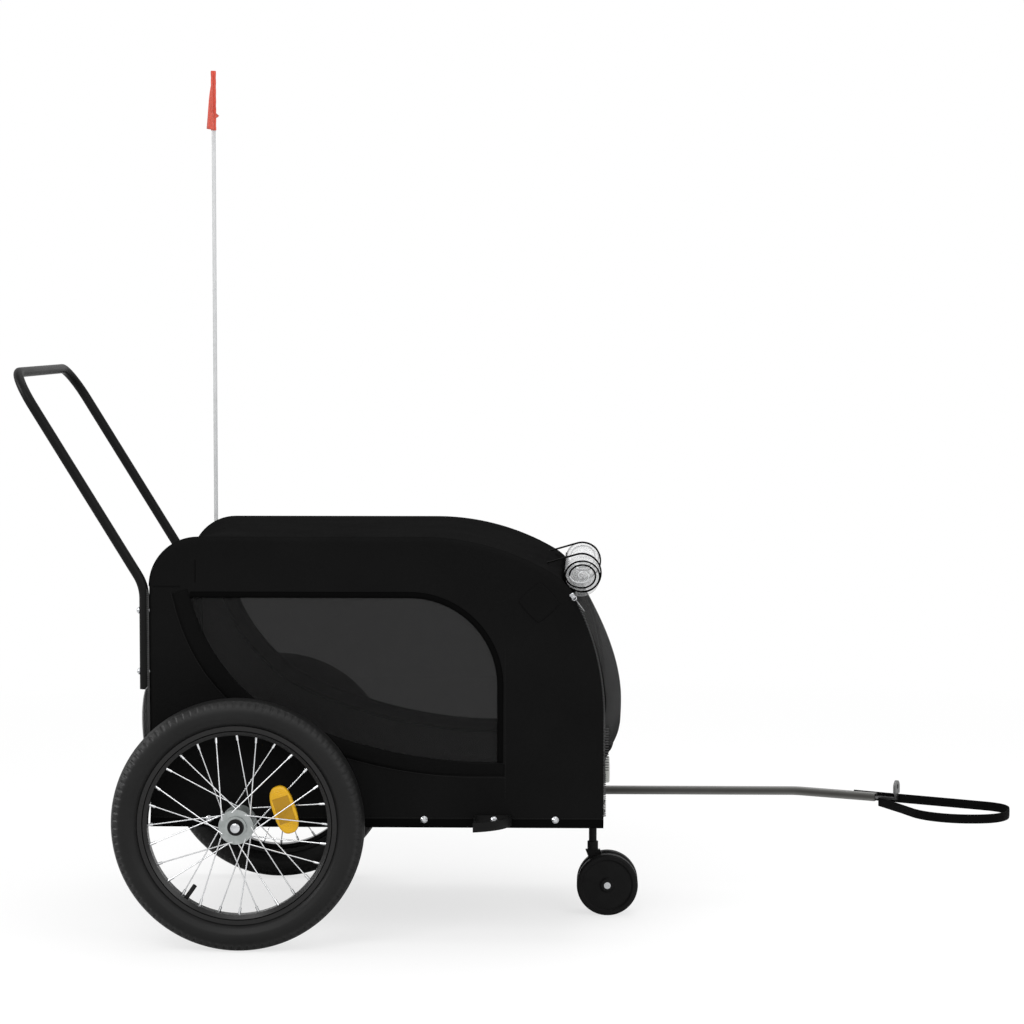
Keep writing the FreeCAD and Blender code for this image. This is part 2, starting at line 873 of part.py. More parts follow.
# Bolts along the base rails, and the wheel guards that two of them carry
bolts = []
for side, sign in SIDES:
    for x in (s.bolt_rear * -1, s.bolt_middle, s.bolt_front):
        seat = vector(x, sign * panel_face, axle_height)
        bolts.append(bolt(seat, Vector(0, -sign, 0), float(s.bolt_grip)))
    seat = vector(s.guard_bolt, sign * (panel_face + s.guard_bar), axle_height)
    bolts.append(bolt(seat, Vector(0, -sign, 0), float(s.bolt_grip + s.guard_bar)))
feature(Part.makeCompound(bolts), "frame_bolts")

for side, sign in SIDES:
    loops = []
    heart = s.guard_rear + s.guard_length - s.guard_swing
    for inset in (zero, s.guard_bar):
        rear = s.guard_rear + inset
        swing = s.guard_swing - inset
        front = heart + root(swing * swing - inset * inset)
        reach = panel_face + root(swing * swing - (rear - heart) * (rear - heart))
        loops.append([
            (rear, sign * (panel_face + inset)),
            (front, sign * (panel_face + inset), swing, sign),
            (rear, sign * reach),
        ])
    guard = padded("XY_Plane", loops[0], s.guard_height)
    pocketed(guard, "XY_Plane", loops[1])
    place(guard, zero, 0, axle_height - s.guard_height / 2)
    node(guard, f"wheel_guard_{side}")

# Push handle, its end plugs and the bolts that hold it to the hoops
leg_line = -s.cover_rear - s.fit_gap - s.handle_diameter / 2
handle_points = []
for sign in (-1, 1):
    leg = [
        vector(leg_line, sign * rail_line, s.handle_foot),
        vector(leg_line, sign * rail_line, s.handle_corner_height),
        vector(-s.handle_reach, sign * rail_line, s.handle_top),
    ]
    handle_points += leg if sign < 0 else leg[::-1]
low = float(s.handle_low_radius)
high = float(s.handle_high_radius)
handle_path = rounded(handle_points, [low, high, high, low])
feature(round_pipe(handle_path, float(s.handle_diameter), float(s.handle_wall)), "handle_tube")

plugs = []
bore_radius = s.handle_diameter / 2 - s.handle_wall
for sign in (-1, 1):
    across = sign * rail_line
    plug_foot = s.handle_foot - s.plug_lip
    stem = rod(bore_radius - s.fit_gap, s.plug_length + s.plug_lip, "z", leg_line, across, plug_foot)
    lip = rod(s.handle_diameter / 2, s.plug_lip, "z", leg_line, across, plug_foot)
    plugs.append(fuse(stem, lip))
node(group(*plugs), "handle_plugs")

bolts = []
grip = float(s.handle_diameter + s.fit_gap * 2 + s.cloth + s.hoop_diameter)
for sign in (-1, 1):
    for z in (s.handle_bolt_low, s.handle_bolt_high):
        seat = vector(leg_line - s.handle_diameter / 2, sign * rail_line, z)
        bolts.append(bolt(seat, Vector(1, 0, 0), grip))
feature(Part.makeCompound(bolts), "handle_bolts")

# Tow arm under the crossbars, bent towards the middle in front
arm_level = rail_under - s.arm_size / 2
arm_points = [
    vector(s.middle_bar_place - s.arm_tail, arm_line, arm_level),
    vector(s.arm_corner_place, arm_line, arm_level),
    vector(s.arm_end_place, arm_line - s.arm_end_inset, arm_level),
]
arm_path = rounded(arm_points, [float(s.arm_corner_radius)])
arm_size = float(s.arm_size)
arm_bore = arm_size - 2 * float(s.arm_wall)
arm_shape = bar_pipe(arm_path, arm_size, arm_size).cut(bar_pipe(arm_path, arm_bore, arm_bore))
feature(arm_shape, "tow_arm")

bolts = []
for x in (s.middle_bar_place, front_bar_place):
    seat = vector(x, arm_line, arm_level - s.arm_size / 2)
    bolts.append(bolt(seat, Vector(0, 0, 1), float(s.arm_size + s.rail_size / 2)))
feature(Part.makeCompound(bolts), "tow_arm_bolts")

# Coupling tongue: a flat bar in the arm's end, turned up past the strap into a wider eye
arm_end = arm_points[2]
arm_way = (arm_points[2] - arm_points[1]).normalize()
arm_left = Vector(-arm_way.y, arm_way.x, 0)
thick = float(s.tongue_thickness)
eye_half = float(s.eye_width) / 2
eye_rise = float(s.eye_height)
tongue_half = arm_bore / 2 - float(s.fit_gap)
sink = float(s.tongue_sink)
reach = float(s.tongue_reach)
bar = Part.makeBox(sink + reach, 2 * tongue_half, thick, Vector(-sink, -tongue_half, -thick / 2))
neck_foot = Vector(reach - thick, -tongue_half, -thick / 2)
neck = Part.makeBox(thick, 2 * tongue_half, eye_rise + thick / 2, neck_foot)
shoulder = float(s.strap_width / 2 + s.strap_gap * 2)
tab = Part.makeBox(thick, 2 * eye_half, eye_rise - shoulder, Vector(reach - thick, -eye_half, shoulder))
crest = Part.makeCylinder(eye_half, thick, Vector(reach - thick, 0, eye_rise), Vector(1, 0, 0))
eye = Part.makeCylinder(
    float(s.eye_bore) / 2, 3 * thick, Vector(reach - 2 * thick, 0, eye_rise), Vector(1, 0, 0)
)
tongue = bar.fuse([neck, tab, crest]).removeSplitter().cut(eye)
tongue.Placement = FreeCAD.Placement(arm_end, FreeCAD.Rotation(Vector(1, 0, 0), arm_way))
feature(tongue, "coupling_tongue")

# Safety strap: a loop of webbing on edge, from one side of the arm's end round to the other
strap_half = arm_size / 2 + float(s.strap_gap + s.strap_thickness / 2)
reach = float(s.strap_reach)
swell = float(s.strap_swell)
STRAP_SHARES = ((1.0, -0.459), (0.88, -0.97), (0.346, -1.0))
strap_points = [
    arm_end - arm_way * float(s.strap_tail) + arm_left * strap_half,
    arm_end + arm_left * strap_half,
]
strap_points += [arm_end + Vector(reach * along, swell * across, 0) for along, across in STRAP_SHARES]
strap_points += [
    arm_end - arm_left * strap_half,
    arm_end - arm_way * float(s.strap_near_tail) - arm_left * strap_half,
]
STRAP_BEND_SHARES = (0.26, 0.23, 0.276, 0.415, 0.14)
strap_path = rounded(strap_points, [reach * share for share in STRAP_BEND_SHARES])
strap = bar_pipe(strap_path, float(s.strap_thickness), float(s.strap_width))
strap.rotate(arm_end, Vector(0, 1, 0), float(s.strap_droop))
feature(strap, "safety_strap")

# Wheels, written about their own middle plane with the outer side towards the outside
hub_half = s.hub_length / 2
flange_face = s.hub_flange_spacing / 2
flange_back = flange_face - s.hub_flange_thickness
collar = s.hub_collar_diameter / 2
barrel = s.hub_barrel_diameter / 2
seat = s.bearing_diameter / 2
pocket_floor = hub_half - s.bearing_width
rim_edge = s.rim_diameter / 2
rim_inner = rim_edge - s.rim_depth
rim_floor = rim_edge - s.rim_hollow
rim_half = s.rim_width / 2
tyre_round = s.tyre_width / 2
tyre_centre = s.tyre_diameter / 2 - tyre_round
tyre_bore = tyre_round - s.tyre_wall
tyre_foot = rim_edge + s.fit_gap
foot_outer = root(tyre_round * tyre_round - (tyre_centre - tyre_foot) * (tyre_centre - tyre_foot))
foot_inner = root(tyre_bore * tyre_bore - (tyre_centre - tyre_foot) * (tyre_centre - tyre_foot))

for side, sign in SIDES:
    wheel_line = sign * wheel_middle
    tyre = turned([
        (tyre_foot, -foot_outer, tyre_round, 1),
        (tyre_centre + tyre_round, zero, tyre_round, 1),
        (tyre_foot, foot_outer),
        (tyre_foot, foot_inner, tyre_bore, -1),
        (tyre_centre + tyre_bore, zero, tyre_bore, -1),
        (tyre_foot, -foot_inner),
    ])
    place(tyre, zero, wheel_line, axle_height)
    node(tyre, f"tyre_{side}")

    # The valve hangs from the tube through a hole in the rim
    valve_turn = FreeCAD.Rotation(Vector(0, -1, 0), SIZES["valve_angle"])
    valve_way = valve_turn.multVec(Vector(1, 0, 0))
    wheel_centre = vector(zero, wheel_line, axle_height)
    tube_radius = float(tyre_bore - s.fit_gap)
    valve_start = wheel_centre + valve_way * float(rim_inner - s.valve_reach)
    ring = Part.makeTorus(float(tyre_centre), tube_radius, wheel_centre, Vector(0, 1, 0))
    stem = Part.makeCylinder(
        float(s.valve_diameter) / 2,
        float(tyre_centre - rim_inner + s.valve_reach - tyre_bore / 2),
        valve_start,
        valve_way,
    )
    feature(ring.fuse(stem), f"inner_tube_{side}")

    rim = turned([
        (rim_inner, -rim_half * 0.62),
        (rim_edge - s.rim_hollow, -rim_half),
        (rim_edge, -rim_half),
        (rim_edge, s.rim_wall - rim_half),
        (rim_floor, s.rim_wall - rim_half),
        (rim_floor, rim_half - s.rim_wall),
        (rim_edge, rim_half - s.rim_wall),
        (rim_edge, rim_half),
        (rim_edge - s.rim_hollow, rim_half),
        (rim_inner, rim_half * 0.62),
    ])
    place(rim, zero, wheel_line, axle_height)
    valve_hole = doc.addObject("Part::Cylinder", "valve_hole")
    valve_hole.Placement = FreeCAD.Placement(Vector(), FreeCAD.Rotation(Vector(0, 0, 1), valve_way))
    bind(valve_hole, Radius=s.valve_diameter / 2 + s.fit_gap, Height=rim_edge)
    place(valve_hole, zero, wheel_line, axle_height)
    node(cut(rim, valve_hole), f"rim_{side}")

    # Spokes leave both flanges in crossed pairs, and their nipples sit in the rim
    spokes = []
    count = int(SIZES["spoke_count"])
    for index in range(count):
        flange = -1 if index % 2 else 1
        lead = 1 if index // 2 % 2 else -1
        rim_angle = 2 * math.pi * index / count + math.radians(SIZES["spoke_phase"])
        hub_angle = rim_angle + lead * math.radians(SIZES["spoke_sweep"])
        hub_radius = float(s.spoke_circle) / 2
        skew = float(s.hub_flange_thickness / 2 - s.spoke_sink + s.spoke_diameter) * lead
        start = wheel_centre + Vector(
            hub_radius * math.cos(hub_angle),
            sign * flange * (float(flange_face - s.hub_flange_thickness / 2) + skew),
            hub_radius * math.sin(hub_angle),
        )
        far = float(rim_inner + s.spoke_sink)
        stop = wheel_centre + Vector(
            far * math.cos(rim_angle),
            sign * flange * float(s.spoke_spread) / 2,
            far * math.sin(rim_angle),
        )
        way = (stop - start).normalize()
        length = (stop - start).Length
        shaft = Part.makeCylinder(float(s.spoke_diameter) / 2, length, start, way)
        nipple = Part.makeCylinder(
            float(s.nipple_diameter) / 2, float(s.nipple_length), stop - way * float(s.nipple_length), way
        )
        spokes.append(shaft.fuse(nipple))
    feature(Part.makeCompound(spokes), f"spokes_{side}")

    hub = turned([
        (seat, hub_half),
        (seat, pocket_floor),
        (s.hub_bore / 2, pocket_floor),
        (s.hub_bore / 2, -pocket_floor),
        (seat, -pocket_floor),
        (seat, -hub_half),
        (collar, -hub_half),
        (collar, -flange_face),
        (s.hub_flange_diameter / 2, -flange_face),
        (s.hub_flange_diameter / 2, -flange_back),
        (barrel, -flange_back),
        (barrel, flange_back),
        (s.hub_flange_diameter / 2, flange_back),
        (s.hub_flange_diameter / 2, flange_face),
        (collar, flange_face),
        (collar, hub_half),
    ])
    place(hub, zero, wheel_line, axle_height)
    node(hub, f"hub_{side}")

    rings = []
    for start in (-hub_half, pocket_floor):
        ring = rod(seat, s.bearing_width, "y", zero, wheel_line + start, axle_height)
        bore = rod(
            s.axle_diameter / 2 + s.running_gap,
            s.bearing_width + 2 * s.overrun,
            "y",
            zero,
            wheel_line + start - s.overrun,
            axle_height,
        )
        rings.append(cut(ring, bore))
    node(group(*rings), f"hub_bearings_{side}")

    # Amber reflector between the spokes, with a clip bar that grips the inner ones
    body_half = float(s.reflector_width) / 2
    reflector_run = s.reflector_length - s.reflector_width
    lens = Part.makeBox(
        float(s.reflector_width),
        float(s.reflector_thickness),
        float(reflector_run),
        vector(-s.reflector_width / 2, -s.reflector_thickness / 2, -reflector_run / 2),
    )
    shapes = []
    for end in (-1, 1):
        middle = end * float(reflector_run) / 2
        base = vector(zero, -s.reflector_thickness / 2, zero) + Vector(0, 0, middle)
        shapes.append(Part.makeCylinder(body_half, float(s.reflector_thickness), base, Vector(0, 1, 0)))
    clip_foot = vector(
        -s.reflector_clip / 2,
        -s.reflector_thickness / 4 - s.reflector_clip_rise,
        -s.reflector_clip_length / 2,
    )
    clip_size = (s.reflector_clip, s.reflector_clip_rise, s.reflector_clip_length)
    shapes.append(Part.makeBox(*[float(size) for size in clip_size], clip_foot))
    lens = lens.fuse(shapes).removeSplitter()
    if sign < 0:
        lens = lens.mirror(Vector(), Vector(0, 1, 0))
    lens.translate(vector(s.reflector_radius, zero, zero))
    lens.rotate(Vector(), Vector(0, -1, 0), SIZES["reflector_angle"])
    lens.translate(wheel_centre)
    feature(lens, f"wheel_reflector_{side}")

    # Quick-release axle: gripped in the bush, shouldered inside, cupped outside for the button
    stub = s.axle_diameter / 2
    inner_end = rail_face - wheel_middle - s.axle_grip
    shoulder_start = s.fit_gap - s.wheel_stand
    head_start = hub_half + s.fit_gap
    cup_floor = head_start + s.axle_floor
    cup_edge = cup_floor + s.axle_cup
    stem_radius = s.button_stem / 2
    stem_end = cup_edge - s.button_hold - s.button_stem_length
    bore_end = stem_end - s.button_travel - s.button_spring_room
    axle = turned([
        (zero, sign * inner_end),
        (stub, sign * inner_end),
        (stub, sign * shoulder_start),
        (s.axle_shoulder / 2, sign * shoulder_start),
        (s.axle_shoulder / 2, sign * (-hub_half - s.fit_gap)),
        (stub, sign * (-hub_half - s.fit_gap)),
        (stub, sign * head_start),
        (s.axle_head / 2, sign * head_start),
        (s.axle_head / 2, sign * cup_edge),
        (s.axle_head / 2 - s.axle_cup_wall, sign * cup_edge),
        (s.axle_head / 2 - s.axle_cup_wall, sign * cup_floor),
        (stem_radius + s.running_gap, sign * cup_floor),
        (stem_radius + s.running_gap, sign * bore_end),
        (zero, sign * bore_end),
    ])
    place(axle, zero, wheel_line, axle_height)
    node(axle, f"axle_{side}")

    cap_radius = s.axle_head / 2 - s.axle_cup_wall - s.running_gap * 2
    cap_start = cup_edge - s.button_hold
    cap_edge = cap_start + s.button_cap
    dome = s.button_dome
    dome_radius = (cap_radius * cap_radius + dome * dome) / (2 * dome)
    button = turned([
        (zero, sign * stem_end),
        (stem_radius, sign * stem_end),
        (stem_radius, sign * cap_start),
        (cap_radius, sign * cap_start),
        (cap_radius, sign * cap_edge, dome_radius, sign),
        (zero, sign * (cap_edge + dome)),
    ])
    place(button, zero, wheel_line, axle_height)
    node(button, f"axle_button_{side}")

# Caster: post, swivelling fork, two discs and their pin
caster_radius = s.caster_diameter / 2
caster_axle_x = front_bar_place + s.caster_trail
post_height = rail_under - s.caster_post_foot
post = rod(s.caster_post / 2, post_height, "z", front_bar_place, zero, s.caster_post_foot)
pin_radius = s.caster_pin / 2
post_bore = rod(
    pin_radius + s.running_gap,
    s.caster_pin_length + s.overrun * 2,
    "z",
    front_bar_place,
    zero,
    s.caster_post_foot - s.overrun,
)
node(cut(post, post_bore), "caster_post")

collar_top = s.caster_post_foot - s.fit_gap
collar_foot = collar_top - s.caster_collar_height
fin_half = s.caster_fin_length / 2
end_radius = s.caster_fin_end
pin = rod(pin_radius, s.caster_pin_length + s.fit_gap, "z", front_bar_place, zero, collar_top)
collar_ring = rod(s.caster_collar / 2, s.caster_collar_height, "z", front_bar_place, zero, collar_foot)
fin = padded(
    "XZ_Plane",
    [
        (front_bar_place - fin_half, collar_foot),
        (caster_axle_x - end_radius, caster_radius, end_radius, 1),
        (caster_axle_x, caster_radius - end_radius, end_radius, 1),
        (caster_axle_x + end_radius, caster_radius),
        (front_bar_place + fin_half, collar_foot),
    ],
    s.caster_fin,
)
place(fin, zero, s.caster_fin / 2, 0)
bore_start = -s.caster_fin / 2 - s.overrun
bore_length = s.caster_fin + 2 * s.overrun
axle_bore = rod(s.caster_axle / 2, bore_length, "y", caster_axle_x, bore_start, caster_radius)
node(cut(fuse(pin, collar_ring, fin), axle_bore), "caster_fork")

disc_half = s.caster_width / 2
dish = disc_half - s.caster_dish
boss = s.caster_boss / 2
for side, sign in SIDES:
    disc = turned([
        (s.caster_axle / 2 + s.running_gap, -disc_half),
        (caster_radius - s.caster_dish, -disc_half),
        (caster_radius, -dish),
        (caster_radius, dish),
        (caster_radius - s.caster_dish, disc_half),
        (caster_radius - s.caster_rim, disc_half),
        (caster_radius - s.caster_rim - s.caster_dish, dish),
        (boss, dish),
        (boss - s.caster_dish, disc_half),
        (s.caster_axle / 2 + s.running_gap, disc_half),
    ])
    if sign < 0:
        disc.Placement = FreeCAD.Placement(Vector(), FreeCAD.Rotation(Vector(0, 0, 1), 180))
    place(disc, caster_axle_x, sign * (s.caster_gap / 2 + disc_half), caster_radius)
    node(disc, f"caster_wheel_{side}")

pin_half = s.caster_gap / 2 + s.caster_width + s.fit_gap
pin = rod(s.caster_axle / 2, 2 * pin_half, "y", caster_axle_x, -pin_half, caster_radius)
heads = [
    rod(s.caster_axle_head / 2, s.caster_axle_head_height, "y", caster_axle_x, start, caster_radius)
    for start in (-pin_half - s.caster_axle_head_height, pin_half)
]
node(fuse(pin, *heads), "caster_axle")

# Flag pole in its holder, with the pennant towards the middle of the trailer
pole_radius = s.pole_diameter / 2
pole = rod(pole_radius, s.pole_top - s.pole_foot, "z", -s.pole_place, pole_line, s.pole_foot)
node(pole, "flag_pole")

holder = box(
    (-s.pole_place - s.holder_width / 2, s.holder_width / 2 - s.pole_place),
    (panel_face, pole_line + s.holder_width / 2),
    (rail_under, rail_under + s.holder_height),
)
holder_bore = rod(
    pole_radius + s.running_gap * 2, s.holder_height + s.overrun, "z", -s.pole_place, pole_line, s.pole_foot
)
node(cut(holder, holder_bore), "flag_holder")

flag_foot = s.pole_top - s.flag_height
pennant = padded(
    "YZ_Plane",
    [
        (pole_line - s.flag_reach, flag_foot),
        (pole_line + pole_radius, flag_foot),
        (pole_line + pole_radius, flag_foot + s.flag_tail_low),
        (pole_line + s.flag_tail, flag_foot + s.flag_tail_low),
        (pole_line + pole_radius, flag_foot + s.flag_tail_low + s.flag_tail_height),
        (pole_line + pole_radius, s.pole_top),
        (pole_line - pole_radius * 2, s.pole_top),
    ],
    s.flag_cloth,
)
place(pennant, -s.pole_place - s.flag_cloth / 2, zero, 0)
sleeve = rod(s.flag_sleeve / 2, s.flag_height, "z", -s.pole_place, pole_line, flag_foot)
sleeve_bore = rod(
    pole_radius + s.running_gap * 2,
    s.flag_height + 2 * s.overrun,
    "z",
    -s.pole_place,
    pole_line,
    flag_foot - s.overrun,
)
node(cut(fuse(pennant, sleeve), sleeve_bore), "flag")

# Front reflector on the lower panel
reflector_foot = s.front_reflector_place - s.front_reflector_height / 2
reflector_head = s.front_reflector_place + s.front_reflector_height / 2
reflector_half = s.front_reflector_width / 2
panel_front = outer.front_foot[0] - (reflector_head - s.cover_bottom) * outer.lean
base_front = panel_front + s.front_reflector_base
base = box(
    (panel_front, base_front), (-reflector_half, reflector_half), (reflector_foot, reflector_head)
)
node(base, "reflector_base")
lens = box(
    (base_front, base_front + s.front_reflector_lens),
    (-reflector_half, reflector_half),
    (reflector_foot, reflector_head),
)
node(lens, "front_reflector")

# Zip pulls at the head of the front zips
pulls = []
edge = vector(outer.visor[0], 0, outer.visor[1])
for side, sign in SIDES:
    slider = Part.makeBox(
        float(s.zip_slider_length),
        float(s.zip_slider_height),
        float(s.zip_slider_width),
        vector(-s.zip_slider_length, zero, -s.zip_slider_width / 2),
    )
    tab = Part.makeBox(
        float(s.zip_tab_length + s.zip_slider_length / 2),
        float(s.zip_tab_width),
        float(s.zip_tab_height),
        vector(-s.zip_slider_length / 2, s.zip_slider_height / 2, -s.zip_tab_height / 2),
    )
    pull = slider.fuse(tab).removeSplitter()
    if sign < 0:
        pull = pull.mirror(Vector(), Vector(0, 1, 0))
    pull.translate(vector(s.zip_drop, sign * panel_face, -s.zip_inset))
    pull.rotate(Vector(), Vector(0, 1, 0), SIZES["zip_turn"])
    pull.translate(edge)
    pulls.append(pull)
feature(Part.makeCompound(pulls), "zip_pulls")

# Every object must have come out whole before any file is written
doc.recompute()
for item in doc.Objects:
    if "Invalid" in item.State or "Error" in item.State:
        raise RuntimeError(f"{item.Label} failed: {item.State}")
for item in nodes:
    if item.Shape.isNull() or not item.Shape.isValid():
        raise RuntimeError(f"{item.Label} has no sound shape")
    if not item.Shape.Solids:
        raise RuntimeError(f"{item.Label} holds no solid")
os.makedirs("parts", exist_ok=True)
for item in nodes:
    item.Shape.exportStep(f"parts/{item.Label}.step")
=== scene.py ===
import math

import bpy
import numpy as np
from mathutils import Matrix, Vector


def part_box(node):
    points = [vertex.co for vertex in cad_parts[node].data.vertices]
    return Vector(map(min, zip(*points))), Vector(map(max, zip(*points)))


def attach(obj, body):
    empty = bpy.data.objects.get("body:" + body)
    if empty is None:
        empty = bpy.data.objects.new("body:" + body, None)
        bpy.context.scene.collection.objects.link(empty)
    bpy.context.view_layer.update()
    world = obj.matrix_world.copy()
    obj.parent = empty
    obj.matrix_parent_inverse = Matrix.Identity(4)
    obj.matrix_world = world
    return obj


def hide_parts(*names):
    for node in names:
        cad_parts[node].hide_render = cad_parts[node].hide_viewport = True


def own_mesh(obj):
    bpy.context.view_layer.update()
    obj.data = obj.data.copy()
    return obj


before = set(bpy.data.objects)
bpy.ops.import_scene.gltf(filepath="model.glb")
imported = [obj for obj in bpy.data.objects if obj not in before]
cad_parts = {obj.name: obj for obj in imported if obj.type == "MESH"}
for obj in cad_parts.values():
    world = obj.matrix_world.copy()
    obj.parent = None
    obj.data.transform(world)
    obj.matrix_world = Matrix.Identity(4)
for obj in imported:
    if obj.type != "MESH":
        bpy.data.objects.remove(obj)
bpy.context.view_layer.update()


# ---- Base frame, hoops and crossbars ----
# Square rails under the floor and round hoops over it, steel tube with a black powder coat.
# The hoops stand on the rails and the crossbars are welded between them. A bowed flat bar bolted
# to each rail guards the wheel.

class Wire:
    """A socket in a node tree; arithmetic on wires and numbers adds Math nodes to that tree."""

    def __init__(self, nodes, socket):
        self.nodes = nodes
        self.socket = socket

    def math(self, operation, first, second=0.0):
        return self.nodes.node("ShaderNodeMath", {"operation": operation}, {0: first, 1: second})

    def __add__(self, other):
        return self.math("ADD", self, other)

    def __mul__(self, other):
        return self.math("MULTIPLY", self, other)

    def __sub__(self, other):
        return self.math("SUBTRACT", self, other)

    def __rsub__(self, other):
        return self.math("SUBTRACT", other, self)

    def __pow__(self, other):
        return self.math("POWER", self, other)

    def sine(self):
        return self.math("SINE", self)

    def above(self, limit):
        return self.math("GREATER_THAN", self, limit)

    def size(self):
        return self.math("ABSOLUTE", self)

    def high(self, other):
        return self.math("MAXIMUM", self, other)

    def low(self, other):
        return self.math("MINIMUM", self, other)

    __radd__ = __add__
    __rmul__ = __mul__


class Nodes:
    """A node tree, whose sockets take a number, a colour or a wire."""

    def __init__(self, tree):
        self.tree = tree

    def join(self, value, socket):
        if isinstance(value, Wire):
            self.tree.links.new(value.socket, socket)
        else:
            socket.default_value = value

    def node(self, kind, settings=None, inputs=None, output=0):
        """Any node: its settings first, then the values or wires of its sockets."""
        made = self.tree.nodes.new(kind)
        for key, value in (settings or {}).items():
            setattr(made, key, value)
        for key, value in (inputs or {}).items():
            self.join(value, made.inputs[key])
        return Wire(self, made.outputs[output])


class Paint(Nodes):
    """A material on a principled shader.

    Shine is how strongly the skin mirrors, against 0.5 for plain plastic.
    """

    def __init__(self, name, shine=0.5, **sockets):
        self.material = bpy.data.materials.new(name)
        self.material.use_nodes = True
        super().__init__(self.material.node_tree)
        self.shader = self.tree.nodes["Principled BSDF"]
        self.shader.inputs["Specular IOR Level"].default_value = shine
        self.feed(**sockets)

    def feed(self, **sockets):
        for name, value in sockets.items():
            self.join(value, self.shader.inputs[name.replace("_", " ").title()])
        return self.material

    def place(self, space="Object"):
        """X, Y and Z of the piece's own coordinates, or of its texture map, as three wires."""
        spot = self.node("ShaderNodeTexCoord", output=space)
        split = self.node("ShaderNodeSeparateXYZ", None, {0: spot})
        return [Wire(self, socket) for socket in split.socket.node.outputs]

    def weave(self, count):
        """Crossed threads over the texture map, from minus one to one."""
        over, up, _ = self.place("UV")
        return (over * count).sine() * (up * count).sine()

    def noise(self, scale, detail):
        spot = self.node("ShaderNodeTexCoord", output="Object")
        settings = {"Vector": spot, "Scale": scale, "Detail": detail}
        return self.node("ShaderNodeTexNoise", None, settings)

    def mix(self, share, first, second):
        """A colour between two others."""
        return self.node("ShaderNodeMix", {"data_type": "RGBA"}, {0: share, 6: first, 7: second}, 2)

    def bump(self, height, distance, strength):
        return self.node(
            "ShaderNodeBump", None, {"Strength": strength, "Distance": distance, "Height": height}
        )


def shade(red, green, blue):
    """A colour as it looks on a screen, 0 to 255, turned into the shader's linear values."""
    parts = np.array([red, green, blue]) / 255
    linear = np.where(parts <= 0.04045, parts / 12.92, ((parts + 0.055) / 1.055) ** 2.4)
    return (*linear.tolist(), 1.0)


def grey(level):
    """A neutral tone as it looks on a screen."""
    return shade(level, level, level)


def mottled(name, low, high, noise, shine, rough, relief=None, grain=None, metallic=0.0):
    """A finish whose tone follows one soft noise, given by its scale and detail.

    Rough is the roughness and what the noise adds to it. Relief is the depth and the strength of a
    bump, from a fine grain where one is given and otherwise from the same noise.
    """
    paint = Paint(name, shine, metallic=metallic, roughness=rough[0])
    cloud = paint.noise(*noise)
    paint.feed(base_color=paint.mix(cloud, low, high))
    if rough[1]:
        paint.feed(roughness=rough[0] + cloud * rough[1])
    if relief:
        paint.feed(normal=paint.bump(paint.noise(grain, 1) if grain else cloud, *relief))
    return paint.material


def dress(finish, *names):
    """Gives CAD nodes their finish."""
    for name in names:
        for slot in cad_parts[name].material_slots:
            slot.material = finish


black_coat = mottled(
    "black_powder_coat", grey(13), grey(20), (7, 3), 0.06, (0.34, 0.16), (0.0002, 0.5), 900
)
dress(black_coat, "base_rail_right", "base_rail_left", "base_crossbars", "roof_crossbars")
dress(black_coat, "side_hoop_right", "side_hoop_left", "wheel_guard_right", "wheel_guard_left")


# ---- Floor board, bushes and bolts ----
# A thin sheet of black pressed board lies on the rails inside the cabin. The axle bushes are
# turned steel, pressed across the rails, and the bolts are zinc plated with domed heads.

board = mottled(
    "pressed_board", grey(22), shade(38, 37, 36), (60, 6), 0.1, (0.62, 0.2), (0.0006, 0.4)
)
dress(board, "floor_board")


def bright_metal(name, low, high, rough, grain):
    """Plated or bare metal whose tone and polish drift in soft patches."""
    polish, scratches = (rough, 0.12), (0.00008, 0.4)
    return mottled(name, low, high, (grain, 4), 0.5, polish, scratches, grain * 30, 1.0)


zinc = bright_metal("bright_zinc", shade(150, 152, 155), shade(205, 206, 208), 0.22, 55)
turned_steel = bright_metal("turned_steel", shade(140, 141, 143), shade(185, 186, 188), 0.25, 90)
dress(turned_steel, "axle_bushes")
dress(zinc, "frame_bolts", "handle_bolts", "tow_arm_bolts")


# ---- Side panels ----
# Coated black polyester on both sides of the cabin, pulled over the hoops so that the edge curls
# round the tube, with a window cut out of it and a folded hem along the rail. The back of the
# cloth is painted pale grey: painted light, for the light that comes in through the windows and
# falls on the far side's inside.

SIDES = (("right", -1), ("left", 1))
SETBACK = np.array([438.9, 0.0, 0.0])
CABIN_MIDDLE = np.array([220.0, 0.0, 400.0])
PANEL_FACE = 265.0
CURL, CURL_FOOT, CURL_RISE = 9.0, 192, 30
CLOTH_FOOT = 187.0
REAR_FACE = -146.0
FRONT_FACE = 574.38
SILL_REAR, SILL_BEND, SILL_FRONT = (-80, 553), (33, 382), (407, 291)
ARCH_MIDDLE, ARCH_RADIUS = (267, 413), 140


def build(name, points, faces, texture=None, sharp=None):
    """A mesh object from points in mm from the wheel axle, with texture places in metres."""
    mesh = bpy.data.meshes.new(name)
    mesh.from_pydata(((points - SETBACK) / 1000).tolist(), [], faces)
    if texture is not None:
        corners = np.concatenate([np.asarray(face) for face in faces])
        layer = mesh.uv_layers.new(name="cloth")
        layer.data.foreach_set("uv", texture[corners].ravel())
    mesh.shade_smooth()
    if sharp:
        mesh.set_sharp_from_angle(angle=math.radians(sharp))
    piece = bpy.data.objects.new(name, mesh)
    bpy.context.scene.collection.objects.link(piece)
    return piece


def quads(rows, columns, closed=(False, False)):
    """Corner numbers of the quads over a grid; a closed direction joins its ends."""
    row = np.arange(rows if closed[0] else rows - 1)[:, None]
    column = np.arange(columns if closed[1] else columns - 1)[None, :]
    below, beside = (row + 1) % rows, (column + 1) % columns
    corners = [row * columns + column, below * columns + column]
    corners += [below * columns + beside, row * columns + beside]
    return np.stack(np.broadcast_arrays(*corners), -1).reshape(-1, 4)


